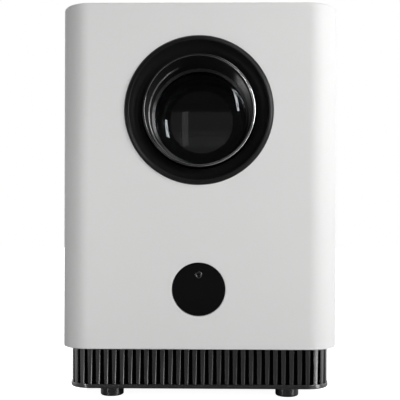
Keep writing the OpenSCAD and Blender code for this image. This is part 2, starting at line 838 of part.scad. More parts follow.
module middle_lens() color("#2a2f38") about_lens() difference() {
  translate([0, middle_t]) square([glass_r, middle_edge]);
  translate([0, middle_t + sag(middle_curve_r, clear_r) - middle_curve_r])
    circle(middle_curve_r, $fn = fine);
}

module rear_lens() color("#20242c") about_lens() intersection() {
  rear_apex_t = rear_t - sag(rear_curve_r, clear_r);
  translate([0, rear_apex_t]) square([glass_r, rear_back_t - rear_apex_t]);
  translate([0, rear_apex_t + rear_curve_r]) circle(rear_curve_r, $fn = fine);
}

module lens_spacers() color("#101012") about_lens() {
  translate([clear_r, front_back_t]) square([glass_r - clear_r, spacer_h]);
  translate([clear_r, middle_t + middle_edge]) square([glass_r - clear_r, rear_gap]);
}

module retaining_ring() color("#1a1a1c") about_lens()
  polygon([[clear_r, ring_t + ring_h], [clear_r, ring_t + ring_h / 2], [clear_r + ring_w / 2, ring_t],
    [glass_r, ring_t], [glass_r, ring_t + ring_h]]);

module focus_nut() color("ivory") difference() {
  block([lug_x, screw_x + nut_half], [nut_t, nut_t + nut_len], [lens_z - nut_half, lens_z + nut_half]);
  into_case(screw_x, nut_t - cut, lens_z) cylinder(r = lead_r + run_fit, h = nut_len + 2 * cut);
}

module lens_mount() color("#202022") difference() {
  about_lens() {
    translate([mount_in_r, mount_front]) square([mount_wall, eng_t0 - mount_front]);
    translate([mount_in_r, eng_t0 - flange_t]) square([flange_r - mount_in_r, flange_t]);
  }
  block([mount_in_r - mount_wall, mount_out_r + cut],
    [lug_t - focus_out - slot_side, lug_t + lug_len + focus_in + slot_side],
    [lens_z - lug_half - slot_side, lens_z + lug_half + slot_side]);
  for (a = flange_turns) into_case(0, eng_t0 - flange_t - cut, lens_z) rotate([0, 0, a])
    translate([flange_screw_r, 0, 0]) cylinder(r = small_screw_r + screw_fit, h = flange_t + 2 * cut);
}

module lens_mount_screws() color("silver") for (a = flange_turns)
  into_case(0, eng_t0 - flange_t, lens_z) rotate([0, 0, a]) translate([flange_screw_r, 0, 0])
    pan_screw(small_head_r, small_head_h, small_screw_r, flange_t + eng_wall);

// Sheet bracket: two ears for the screw, a strap beside it and a foot on the engine case
module focus_bracket() color("lightgray") difference() {
  union() {
    for (t = [ear_front_t, ear_rear_t])
      block([screw_x - lead_r - ear_side, strap_x + ear_t], [t, t + ear_t],
        [lens_z - ear_half, lens_z + ear_half]);
    block([strap_x, strap_x + ear_t], [ear_front_t, eng_t0], [lens_z - ear_half, lens_z + ear_half]);
    block([strap_x, strap_x + foot_len], [eng_t0 - ear_t, eng_t0], [lens_z - ear_half, lens_z + ear_half]);
  }
  into_case(screw_x, ear_front_t - cut, lens_z)
    cylinder(r = lead_r + run_fit, h = ear_rear_t - ear_front_t + ear_t + 2 * cut);
}

module focus_motor() color("silver") into_case(screw_x, ear_front_t - motor_len, lens_z) {
  cylinder(r = motor_r, h = motor_len);
  translate([0, 0, -motor_cap_h]) cylinder(r = motor_cap_r, h = motor_cap_h + bite);
}

module lead_screw() color("gray") into_case(screw_x, ear_front_t + run_fit, lens_z)
  cylinder(r = lead_r, h = ear_rear_t + ear_t - ear_front_t - 2 * run_fit);

// Light engine

module on_fold() {
  translate([0, front_y + fold_mid_t, fold_sum - fold_mid_t]) rotate([-fold_turn, 0, 0]) children();
}

module engine_case() color("#2b2b2e") {
  difference() {
    across(eng_half) polygon([[eng_t0, eng_z], [eng_t1, eng_z],
      [eng_t1, fold_sum - eng_t1], [eng_t0, fold_sum - eng_t0]]);
    across(col_half_x) polygon([[col_t0, eng_z + eng_wall], [col_t1, eng_z + eng_wall],
      [col_t1, fold_sum - col_t1 + 2 * eng_wall], [col_t0, fold_sum - col_t0 + 2 * eng_wall]]);
    block([light_margin - col_half_x, col_half_x - light_margin],
      [col_t0 + light_margin, col_t1 - light_margin], [eng_z - cut, eng_z + eng_wall + cut]);
    into_case(0, eng_t0 - cut, lens_z) cylinder(r = light_hole_r, h = eng_wall + 2 * cut);
    for (a = flange_turns) into_case(0, eng_t0 - cut, lens_z) rotate([0, 0, a])
      translate([flange_screw_r, 0, 0]) cylinder(r = small_screw_r + run_fit, h = eng_wall + 2 * cut);
    block([-flex_half - flex_slot, flex_half + flex_slot], [col_t1 - cut, eng_t1 + cut],
      [flex_z - flex_slot, flex_z + flex_t + flex_slot]);
  }
  for (s = [-1, 1], i = [0 : stack_n]) {
    low = i == 0 ? eng_z + eng_wall - bite : stack_z(i - 1) + stack_ts[i - 1] + slot_fit;
    x = [s * (col_half_x - stack_rib), s * (col_half_x + bite)];
    block([min(x), max(x)], [col_t0, col_t1], [low, stack_z(i)]);
  }
  on_fold() for (s = [-1, 1]) translate([s * (eng_half + ear_w / 2), 0, -lug_h / 2]) difference() {
    cube([ear_w + 2 * bite, ear_l, lug_h], center = true);
    translate([0, 0, -lug_h]) cylinder(r = small_screw_r + run_fit, h = 2 * lug_h);
  }
}

// One plate of the optical stack, resting on the ribs of the engine case
module stack_plate(i) {
  block([slot_fit - col_half_x, col_half_x - slot_fit], [col_t0 + slot_fit, col_t1 - slot_fit],
    [stack_z(i), stack_z(i) + stack_ts[i]]);
}

module collimator_fresnel() color("lightcyan") stack_plate(0);

module heat_glass() color("lightcyan") stack_plate(1);

module lcd_panel() color("#30343c") stack_plate(lcd_index);

module field_fresnel() color("lightcyan") stack_plate(3);

// Flat cable from the panel through the engine wall, then up the face of the main board
module lcd_flex() color("orange") {
  flex_top = max(flex_z, board_z) + flex_tail;
  block([-flex_half, flex_half], [col_t1 - slot_fit, board_front_t], [flex_z, flex_z + flex_t]);
  block([-flex_half, flex_half], [board_front_t - flex_t, board_front_t], [flex_z, flex_top]);
}

module fold_mirror() color("lightsteelblue") on_fold() linear_extrude(height = mirror_t)
  square([mirror_w, mirror_l], center = true);

module mirror_cover() color("#2b2b2e") on_fold() difference() {
  cover_h = mirror_t + slot_fit + mirror_lip;
  linear_extrude(height = cover_h) {
    square([2 * eng_half, fold_len], center = true);
    square([2 * (eng_half + ear_w), ear_l], center = true);
  }
  translate([0, 0, -cut]) linear_extrude(height = mirror_t + slot_fit + cut)
    square([mirror_w + 2 * slot_fit, mirror_l + 2 * slot_fit], center = true);
  for (s = [-1, 1]) translate([s * (eng_half + ear_w / 2), 0, -cut])
    cylinder(r = small_screw_r + screw_fit, h = cover_h + 2 * cut);
}

module mirror_screws() color("silver") on_fold() for (s = [-1, 1])
  translate([s * (eng_half + ear_w / 2), 0, mirror_t + slot_fit + mirror_lip]) rotate([180, 0, 0])
    pan_screw(small_head_r, small_head_h, small_screw_r, mirror_grip + mirror_lip);

// Solid with a rectangular foot and head, given as [width, depth]
module frustum(low, high, h) {
  corners = [[-1, -1], [1, -1], [1, 1], [-1, 1]];
  polyhedron(
    points = concat([for (c = corners) [c[0] * low[0] / 2, c[1] * low[1] / 2, 0]],
      [for (c = corners) [c[0] * high[0] / 2, c[1] * high[1] / 2, h]]),
    faces = [[0, 1, 2, 3], [7, 6, 5, 4], [0, 4, 5, 1], [1, 5, 6, 2], [2, 6, 7, 3], [3, 7, 4, 0]]);
}

// Tapered reflector between the lamp and the optical stack
module light_cone() color("gainsboro") {
  low = [cone_low, cone_low];
  high = [2 * (col_half_x - light_margin), 2 * (col_half_t - light_margin)];
  wall = [2 * cone_wall, 2 * cone_wall];
  over_lamp() difference() {
    frustum(low + wall, high + wall, eng_z - led_top);
    frustum(low, high, eng_z - led_top);
    translate([0, 0, -cut]) linear_extrude(height = 2 * cut) square(low, center = true);
    translate([0, 0, eng_z - led_top - cut]) linear_extrude(height = 2 * cut) square(high, center = true);
  }
}

module over_lamp() translate([0, front_y + col_mid_t, led_top]) children();

module condenser_lens() color("lightcyan") over_lamp() rotate_extrude() {
  dome = sag(condenser_curve_r, condenser_r);
  translate([0, cup_seat]) square([condenser_r, condenser_edge]);
  intersection() {
    translate([0, cup_seat + condenser_edge + dome - condenser_curve_r]) circle(condenser_curve_r);
    translate([0, cup_seat + condenser_edge - bite]) square([condenser_r, dome + 2 * bite]);
  }
}

module lens_cup() color("ivory") over_lamp() rotate_extrude() {
  translate([condenser_r + slot_fit, 0]) square([cup_wall, cup_h]);
  translate([condenser_r - cup_step, 0]) square([cup_wall, cup_seat]);
}

module led_chip() color("gold") over_lamp()
  translate([-led_half, -led_half, 0]) cube([2 * led_half, 2 * led_half, led_h]);

module led_board() color("white") translate([0, front_y + col_mid_t, led_z])
  linear_extrude(height = led_board_t) rounded_rect(led_board_w, led_board_w, board_corner_r);

module heat_sink() color("silver") translate([0, front_y + col_mid_t, 0]) difference() {
  union() {
    translate([-sink_half_x, -sink_half_t, spreader_z])
      cube([2 * sink_half_x, 2 * sink_half_t, spreader_t]);
    for (i = [0 : fin_count - 1])
      translate([(i / (fin_count - 1) - 0.5) * (fin_span - fin_t) - fin_t / 2, -sink_half_t, fin_z])
        cube([fin_t, 2 * sink_half_t, fin_h + bite]);
  }
  for (sx = [-1, 1], st = [-1, 1]) translate([sx * sink_post_x, st * sink_post_t, spreader_z - cut])
    cylinder(r = small_screw_r + screw_fit, h = spreader_t + 2 * cut);
}

module heat_sink_screws() color("silver") for (p = sink_places())
  translate([p[0], p[1], led_z]) rotate([180, 0, 0])
    pan_screw(small_head_r, small_head_h, small_screw_r, spreader_t + small_screw_grip);

// Cooling

module fan_frame() color("#18181a") into_case(0, fan_t, fan_z) {
  difference() {
    linear_extrude(height = fan_depth) rounded_rect(fan_size, fan_size, fan_corner_r);
    translate([0, 0, -cut]) cylinder(r = fan_bore_r, h = fan_depth + 2 * cut);
    for (sx = [-1, 1], sy = [-1, 1]) translate([sx * fan_hole, sy * fan_hole, -cut])
      cylinder(r = screw_r + run_fit, h = fan_depth + 2 * cut);
  }
  translate([0, 0, fan_depth - fan_plate]) {
    cylinder(r = fan_hub_r, h = fan_plate);
    difference() {
      for (turn = [45, 135]) rotate([0, 0, turn])
        translate([-fan_bore_r - bite, -strut_w / 2, 0])
          cube([2 * (fan_bore_r + bite), strut_w, fan_plate]);
      cylinder(r = fan_hub_r - bite, h = fan_plate / 2, center = true);
    }
  }
  translate([0, 0, fan_pin_t]) cylinder(r = fan_pin_r, h = fan_depth - fan_pin_t - fan_plate / 2);
}

// Section of a blade: a thin arc set at the blade pitch
module blade_section() {
  rotate(blade_pitch) translate([0, -blade_curve_r]) intersection() {
    difference() {
      circle(blade_curve_r);
      circle(blade_curve_r - blade_t);
    }
    translate([-blade_half, 0]) square([2 * blade_half, blade_curve_r + cut]);
  }
}

module fan_rotor() color("#202022") into_case(0, fan_t, fan_z) {
  hub_back = fan_depth - fan_plate - hub_gap;
  difference() {
    translate([0, 0, hub_t]) cylinder(r = fan_hub_r, h = hub_back - hub_t);
    translate([0, 0, hub_t + hub_face]) difference() {
      cylinder(r = fan_hub_r - hub_wall, h = fan_depth);
      translate([0, 0, -cut]) cylinder(r = hub_core_r, h = fan_depth + 2 * cut);
    }
    translate([0, 0, fan_pin_t - pin_floor]) cylinder(r = fan_pin_r + run_fit, h = fan_depth);
  }
  intersection() {
    for (i = [0 : blade_count - 1]) rotate([0, 0, i * 360 / blade_count])
      translate([fan_hub_r - blade_root, 0, blade_mid]) rotate([90, 0, 90])
        linear_extrude(height = fan_size / 2) blade_section();
    translate([0, 0, blade_front]) cylinder(r = fan_tip_r, h = hub_back - blade_front);
  }
}

module fan_screws() color("silver") for (sx = [-1, 1], sz = [-1, 1])
  into_case(sx * fan_hole, panel_out_t, fan_z + sz * fan_hole) rotate([180, 0, 0])
    pan_screw(fan_head_r, small_head_h, screw_r, panel_t + fan_grip);

// Electronics

module main_board() color("darkgreen") into_case(0, board_front_t, 0) linear_extrude(height = board_t)
  difference() {
    translate([0, -(board_z + board_top) / 2])
      rounded_rect(2 * board_half_x, board_top - board_z, board_corner_r);
    for (p = standoff_places) translate([p[0], -p[1]]) circle(small_screw_r + screw_fit);
  }

module board_screws() color("silver") for (p = standoff_places) into_case(p[0], board_front_t, p[1])
  pan_screw(small_head_r, small_head_h, small_screw_r, board_t + small_screw_grip);

// Processor with its cooler, two coils and a row of capacitors on the back of the board
module board_components() color("#3a3a40") {
  z = (port_z + usb_rise + usb_h / 2 + board_top) / 2;
  chip_pitch = 2 * chip_half / chip_cuts;
  difference() {
    block([chip_x - chip_half, chip_x + chip_half], [board_back_t, board_back_t + chip_h],
      [z - chip_half, z + chip_half]);
    for (i = [0 : chip_cuts - 1]) {
      x = chip_x - chip_half + (i + 0.5) * chip_pitch;
      block([x - chip_cut_w / 2, x + chip_cut_w / 2],
        [board_back_t + chip_base, board_back_t + chip_h + cut], [z - chip_half - cut, z + chip_half + cut]);
    }
  }
  for (s = [-0.5, 0.5]) block([coil_x - coil_half, coil_x + coil_half],
    [board_back_t, board_back_t + coil_h], [z + s * coil_pitch - coil_half, z + s * coil_pitch + coil_half]);
  for (i = [-1 : 1]) into_case(cap_x, board_back_t, z + i * cap_pitch) cylinder(r = cap_r, h = cap_h);
}

module hdmi_socket() color("silver") {
  z = port_z;
  half = hdmi_w / 2 - hdmi_shell;
  difference() {
    block([hdmi_x - hdmi_w / 2, hdmi_x + hdmi_w / 2],
      [board_back_t, panel_in_t + socket_nose], [z - hdmi_h / 2, z + hdmi_h / 2]);
    into_case(hdmi_x, panel_in_t + socket_nose - jack_depth, z) linear_extrude(height = jack_depth + cut)
      polygon([[-half, -hdmi_low], [half, -hdmi_low], [half, hdmi_low - hdmi_corner],
        [half - hdmi_corner, hdmi_low], [hdmi_corner - half, hdmi_low], [-half, hdmi_low - hdmi_corner]]);
  }
  block([hdmi_x - tongue_half, hdmi_x + tongue_half],
    [panel_in_t + socket_nose - jack_depth - bite, panel_in_t], [z - tongue_t / 2, z + tongue_t / 2]);
}

module usb_sockets() color("silver") for (s = [-1, 1]) {
  z = port_z + s * usb_rise;
  difference() {
    block([usb_x - usb_w / 2, usb_x + usb_w / 2],
      [board_back_t, panel_in_t + socket_nose], [z - usb_h / 2, z + usb_h / 2]);
    block([usb_x - usb_w / 2 + usb_shell, usb_x + usb_w / 2 - usb_shell],
      [panel_in_t + socket_nose - jack_depth, panel_in_t + socket_nose + cut],
      [z - usb_h / 2 + usb_shell, z + usb_h / 2 - usb_shell]);
  }
  block([usb_x - tongue_half, usb_x + tongue_half],
    [panel_in_t + socket_nose - jack_depth - bite, panel_in_t],
    [z + usb_tongue_rise, z + usb_tongue_rise + tongue_t]);
}

// Round socket: a block on the board with a round nose through the rear panel
module round_jack(x, nose_r, hole_r, hole_len) {
  half = nose_r + jack_body;
  difference() {
    union() {
      block([x - half, x + half], [board_back_t, panel_in_t - jack_face], [port_z - half, port_z + half]);
      into_case(x, panel_in_t - jack_face - bite, port_z)
        cylinder(r = nose_r, h = jack_face + bite + socket_nose);
    }
    into_case(x, panel_in_t + socket_nose - hole_len, port_z) cylinder(r = hole_r, h = hole_len + cut);
  }
}

module audio_jack() color("#1c1c1e") round_jack(audio_x, jack_r, audio_bore_r, jack_depth);

module dc_jack() color("#1c1c1e") {
  round_jack(dc_x, dc_r, dc_bore_r, jack_depth);
  into_case(dc_x, panel_in_t + socket_nose - jack_depth - bite, port_z)
    cylinder(r = dc_pin_r, h = jack_depth + bite - dc_pin_back);
}

module power_switch() color("silver") {
  block([-switch_half, switch_half], [board_back_t, board_back_t + switch_h - plunger_h],
    [button_z - switch_half, button_z + switch_half]);
  into_case(0, board_back_t + switch_h - plunger_h - bite, button_z)
    cylinder(r = plunger_r, h = plunger_h + bite);
}

module power_button() color("#1c1c1e") into_case(0, 0, button_z) {
  flange_back = panel_in_t - button_gap;
  stem_t = board_back_t + switch_h + button_travel + button_gap;
  translate([0, 0, flange_back - button_flange]) {
    cylinder(r = button_r + button_rim, h = button_flange);
    cylinder(r = button_r, h = panel_out_t + button_proud - flange_back + button_flange);
  }
  translate([0, 0, stem_t]) cylinder(r = button_stem_r, h = flange_back - stem_t);
}

// Sensors and speaker

module sensor_window() color("#0c0c0e") into_case(0, 0, window_z) {
  translate([0, 0, window_recess]) cylinder(r = window_r, h = case_wall - window_recess + bite);
  translate([0, 0, case_wall]) cylinder(r = window_hole_r + window_flange, h = window_flange_t);
}

module sensor_board() color("darkgreen") into_case(0, sensor_t, window_z)
  linear_extrude(height = sensor_board_t) difference() {
    rounded_rect(2 * sensor_half_x, 2 * sensor_half_z, board_corner_r);
    for (s = [-1, 1]) translate([s * sensor_post_x, 0]) circle(small_screw_r + screw_fit);
  }

module sensor_screws() color("silver") for (s = [-1, 1])
  into_case(s * sensor_post_x, sensor_t + sensor_board_t, window_z) rotate([180, 0, 0])
    pan_screw(small_head_r, small_head_h, small_screw_r, sensor_board_t + small_screw_grip);

module camera_module() color("#222226") {
  z = window_z + camera_rise;
  camera_t = case_wall + window_flange_t + camera_gap;
  block([-camera_half, camera_half], [camera_t + camera_nose, sensor_t], [z - camera_half, z + camera_half]);
  into_case(0, camera_t, z) difference() {
    cylinder(r = camera_r, h = camera_nose + bite);
    translate([0, 0, -cut]) cylinder(r = camera_pupil_r, h = camera_pupil_d + cut);
  }
}

module ir_receiver() color("#2a1418") {
  z = window_z - ir_drop;
  block([-ir_half_x, ir_half_x], [sensor_t - ir_depth, sensor_t], [z - ir_half_z, z + ir_half_z]);
  into_case(0, sensor_t - ir_depth, z) sphere(r = ir_r);
}

module over_speaker() translate([0, front_y + speaker_t, plate_top]) children();

module speaker_frame() color("#26262a") over_speaker() rotate_extrude() difference() {
  low = speaker_h - magnet_h;
  inner_r = speaker_r - speaker_rim;
  polygon([[0, speaker_h], [0, low], [magnet_r - basket_t, low], [inner_r - basket_h, basket_h],
    [inner_r, 0], [speaker_r, 0], [speaker_r, basket_h], [magnet_r, low + magnet_bore],
    [magnet_r, speaker_h]]);
  translate([0, low - cut]) square([coil_r, cut + magnet_bore]);
}

module speaker_cone() color("#39393c") over_speaker() rotate_extrude() {
  edge_r = speaker_r - speaker_rim - cone_edge;
  polygon([[0, cone_top], [coil_r, cone_top], [edge_r - cone_t, cone_t], [edge_r, 0],
    [edge_r - 2 * cone_t, cone_t], [coil_r - cone_t, cone_top - cone_t], [0, cone_top - cone_t]]);
}

outer_sleeve();
top_cover();
rear_panel();
base_skirt();
base_plate();
tripod_insert();
front_left_foot();
front_right_foot();
rear_left_foot();
rear_right_foot();
case_screws();
lens_bezel();
lens_barrel();
front_lens();
middle_lens();
rear_lens();
lens_spacers();
retaining_ring();
focus_nut();
lens_mount();
lens_mount_screws();
focus_bracket();
focus_motor();
lead_screw();
engine_case();
collimator_fresnel();
heat_glass();
lcd_panel();
field_fresnel();
lcd_flex();
fold_mirror();
mirror_cover();
mirror_screws();
light_cone();
condenser_lens();
lens_cup();
led_chip();
led_board();
heat_sink();
heat_sink_screws();
fan_frame();
fan_rotor();
fan_screws();
main_board();
board_screws();
board_components();
hdmi_socket();
usb_sockets();
audio_jack();
dc_jack();
power_switch();
power_button();
sensor_window();
sensor_board();
sensor_screws();
camera_module();
ir_receiver();
speaker_frame();
speaker_cone();
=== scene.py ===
"""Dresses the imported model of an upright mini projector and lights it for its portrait.

The CAD nodes are loaded as a fixed frame. The pieces whose edges and round faces show are
modelled anew with Blender's operators and stand for their nodes, and every other node keeps
its own mesh and gets a procedural finish. Lengths are in metres, the front faces -Y, and a
depth is measured from the front face of the sleeve into the case.
"""

from __future__ import annotations

import json
import logging
import math
from collections.abc import Callable, Iterator, Sequence
from contextlib import contextmanager
from dataclasses import dataclass
from enum import Enum

import bmesh
import bpy
from mathutils import Matrix, Vector


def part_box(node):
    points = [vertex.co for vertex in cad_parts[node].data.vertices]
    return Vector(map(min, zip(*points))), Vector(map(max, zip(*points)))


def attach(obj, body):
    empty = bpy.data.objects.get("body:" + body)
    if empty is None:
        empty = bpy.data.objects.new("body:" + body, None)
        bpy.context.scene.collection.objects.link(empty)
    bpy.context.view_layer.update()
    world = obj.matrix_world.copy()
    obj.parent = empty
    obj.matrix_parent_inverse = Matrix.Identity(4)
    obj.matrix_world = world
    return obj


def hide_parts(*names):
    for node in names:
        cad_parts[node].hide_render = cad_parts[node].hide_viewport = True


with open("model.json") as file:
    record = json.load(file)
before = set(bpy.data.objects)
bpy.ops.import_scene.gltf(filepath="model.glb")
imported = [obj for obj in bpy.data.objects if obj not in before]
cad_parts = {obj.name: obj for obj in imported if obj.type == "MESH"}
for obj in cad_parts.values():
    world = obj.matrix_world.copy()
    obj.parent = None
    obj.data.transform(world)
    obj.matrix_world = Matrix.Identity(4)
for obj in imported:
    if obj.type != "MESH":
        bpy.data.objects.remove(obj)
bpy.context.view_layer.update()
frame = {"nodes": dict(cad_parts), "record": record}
LOG = logging.getLogger("projector")
MM = 0.001
FRONT_Y = -59.4 * MM
MID_Y = 0.6 * MM
LENS_Z = 124 * MM
WINDOW_Z = 47.6 * MM
LENS_AXIS = Vector((0.0, FRONT_Y, LENS_Z))
WINDOW_AXIS = Vector((0.0, FRONT_Y, WINDOW_Z))
WORN = "worn"
FULL_WHITE = (1.0, 1.0, 1.0)
# Lengths that differ by less than this are the same
NEAR = 0.01 * MM
# Vertices closer than this are merged
DOUBLED = 0.002 * MM
# Faces that meet at a smaller angle than this are one plane
FLAT = math.radians(1.0)
# The same on a round corner, whose facets lie a little inside the arc, in millimetres
FACETED = 0.05
# Faces that meet at a smaller angle than this have no edge to round
SHARP = math.radians(25.0)

Triple = tuple[float, float, float]
Colour = Triple
Point = tuple[float, float]
Section = list[Point]
EdgeTest = Callable[[bmesh.types.BMEdge], bool]


class Body(Enum):
    """The CAD bodies that a piece can ride on."""

    HOUSING = "housing"
    LENS = "lens"
    BUTTON = "button"


class Axis(Enum):
    """Directions of the axes that a section is turned about."""

    Y = (0.0, 1.0, 0.0)
    Z = (0.0, 0.0, 1.0)


class Joining(Enum):
    """What a Boolean modifier does with another piece."""

    CUT = "DIFFERENCE"
    UNITE = "UNION"


class Ray(Enum):
    """Kinds of ray, by the socket that tells them: from the camera, mirrored and through glass."""

    CAMERA = "Is Camera Ray"
    MIRRORED = "Is Glossy Ray"
    THROUGH = "Is Transmission Ray"


# Shader nodes


def arithmetic(operation: str, swapped: bool = False) -> Callable[[Signal, Value], Signal]:
    """Makes a method that joins a signal and another value in a Math node.

    Args:
        operation: The node's operation.
        swapped: Whether the other value comes first.

    Returns:
        The method.
    """

    def join(signal: Signal, other: Value = 0.0) -> Signal:
        """Adds the node to the signal's graph."""
        first, second = (other, signal) if swapped else (signal, other)
        return signal.graph.add("ShaderNodeMath", {"operation": operation}, {0: first, 1: second})

    return join


class Signal:
    """A value in a node tree; arithmetic on it adds Math nodes."""

    __add__ = __radd__ = arithmetic("ADD")
    __sub__ = arithmetic("SUBTRACT")
    __rsub__ = arithmetic("SUBTRACT", swapped=True)
    __mul__ = __rmul__ = arithmetic("MULTIPLY")
    __truediv__ = arithmetic("DIVIDE")
    __rtruediv__ = arithmetic("DIVIDE", swapped=True)
    __pow__ = arithmetic("POWER")
    __rpow__ = arithmetic("POWER", swapped=True)
    __lt__ = arithmetic("LESS_THAN")
    __gt__ = arithmetic("GREATER_THAN")
    __abs__ = arithmetic("ABSOLUTE")
    larger = arithmetic("MAXIMUM")
    smaller = arithmetic("MINIMUM")

    def __init__(self, graph: Graph, socket: bpy.types.NodeSocket) -> None:
        """Wraps an output socket of the graph."""
        self.graph = graph
        self.socket = socket

    def step(self, low: float, high: float) -> Signal:
        """A smooth step from 0 at low to 1 at high."""
        return self.graph.add(
            "ShaderNodeMapRange", {"interpolation_type": "SMOOTHSTEP"},
            {"Value": self, "From Min": low, "From Max": high})

    def between(self, first: Colour | Signal, second: Colour | Signal) -> Signal:
        """A colour mixed from the first, where this value is 0, to the second, where it is 1."""
        return self.graph.add(
            "ShaderNodeMix", {"data_type": "RGBA"}, {0: self, 6: first, 7: second}, output=2)


Value = Signal | float


class Graph:
    """A node tree and the one way in which nodes are added to it."""

    def __init__(self, tree: bpy.types.NodeTree) -> None:
        """Empties the tree and keeps it."""
        self.tree = tree
        tree.nodes.clear()

    def add(
        self,
        kind: str,
        settings: dict[str, object] | None = None,
        inputs: dict[str | int, object] | None = None,
        output: str | int = 0,
    ) -> Signal | None:
        """Adds a node.

        Args:
            kind: Blender's name of the node's type.
            settings: Properties of the node, set before its sockets.
            inputs: Values or signals by the socket's name or number.
            output: The socket that is handed back.

        Returns:
            The chosen output as a signal, or nothing for a node at the end of the tree.
        """
        node = self.tree.nodes.new(kind)
        for name, value in (settings or {}).items():
            setattr(node, name, value)
        for name, value in (inputs or {}).items():
            if isinstance(value, Signal):
                self.tree.links.new(value.socket, node.inputs[name])
            elif isinstance(value, tuple) and len(node.inputs[name].default_value) == 4:
                node.inputs[name].default_value = (*value, 1.0)
            else:
                node.inputs[name].default_value = value
        return Signal(self, node.outputs[output]) if node.outputs else None

    def place(self) -> Signal:
        """The Object coordinates, which are the row frame's."""
        return self.add("ShaderNodeTexCoord", output="Object")

    def stretched(self, scale: Triple) -> Signal:
        """The Object coordinates, drawn out by a scale along each axis."""
        return self.add("ShaderNodeMapping", None, {"Vector": self.place(), "Scale": scale})

    def noise(self, size: float, detail: float = 2.0, vector: Signal | None = None) -> Signal:
        """Smooth noise from 0 to 1, with features of a size in metres and some finer layers."""
        return self.add(
            "ShaderNodeTexNoise", None,
            {"Vector": vector or self.place(), "Scale": 1.0 / size, "Detail": detail}, output="Fac")

    def bricks(
        self, size: Point, line: float, soft: float = 0.1, offset: float = 0.0, vector: Signal | None = None
    ) -> Signal:
        """Rows of bricks, each shifted by a share of one: 1 on the lines between them and 0 inside."""
        return self.add(
            "ShaderNodeTexBrick", {"offset": offset},
            {"Vector": vector or self.place(), "Scale": 1.0, "Mortar Size": line, "Mortar Smooth": soft,
             "Brick Width": size[0], "Row Height": size[1]}, output="Fac")

    def axis(self, which: int) -> Signal:
        """One of the three Object coordinates, in metres."""
        return self.add("ShaderNodeSeparateXYZ", None, {0: self.place()}, output=which)

    def bump(self, height: Signal, depth: float) -> Signal:
        """A normal that a height from 0 to 1 roughens, to a full depth in metres."""
        return self.add("ShaderNodeBump", None, {"Height": height, "Strength": 1.0, "Distance": depth})

    def surface(self, inputs: dict[str | int, object]) -> None:
        """Ends a material in one Principled shader with these inputs."""
        shader = self.add("ShaderNodeBsdfPrincipled", None, inputs)
        self.add("ShaderNodeOutputMaterial", None, {"Surface": shader})


# Finishes


def scaled(colour: Colour, factor: float) -> Colour:
    """A colour made lighter or darker by a factor."""
    return tuple(channel * factor for channel in colour)


@dataclass(frozen=True)
class Finish:
    """A material named for the record's slot that it belongs to.

    Attributes:
        slot: The record's slot.
        colour: The main colour, linear.
        roughness: The mean roughness.
    """

    slot: str
    colour: Colour
    roughness: float

    def material(self) -> bpy.types.Material:
        """Makes the material at its first use and hands out the same one after that.

        Returns:
            The material.
        """
        found = bpy.data.materials.get(self.name())
        if found is None:
            found = bpy.data.materials.new(self.name())
            found.use_nodes = True
            found.diffuse_color = (*self.colour, 1.0)
            self.paint(Graph(found.node_tree))
        return found

    def name(self) -> str:
        """The material's own name."""
        return f"finish_{self.slot}"

    def paint(self, graph: Graph) -> None:
        """Builds the nodes; each kind of finish has its own."""
        raise NotImplementedError


@dataclass(frozen=True)
class MouldedPlastic(Finish):
    """Plastic from an eroded mould: a fine even grain over a faint drift of gloss.

    Attributes:
        grain: Size of the grain, in metres.
        relief: Depth of the grain, in metres.
        specular: The shader's specular level.
        drift: Share by which colour and gloss wander.
        patch: Size of the patches in which they wander, in metres.
    """

    grain: float = 0.35 * MM
    relief: float = 0.012 * MM
    specular: float = 0.5
    drift: float = 0.03
    patch: float = 28 * MM

    def paint(self, graph: Graph) -> None:
        """Fine grain as bump, slow noise on colour and roughness.

        Args:
            graph: The material's node tree.
        """
        slow = graph.noise(self.patch, 3.0)
        fine = graph.noise(self.grain, 2.0)
        speck = fine.step(0.62, 0.78)
        colour = slow.between(scaled(self.colour, 1 - self.drift), scaled(self.colour, 1 + self.drift))
        colour = (speck * self.drift).between(colour, scaled(self.colour, 0.8))
        graph.surface({
            "Base Color": colour,
            "Roughness": self.roughness * (1 - self.drift) + slow * (2 * self.drift) + fine * 0.06 - 0.03,
            "Specular IOR Level": self.specular,
            "Normal": graph.bump(fine, self.relief),
        })


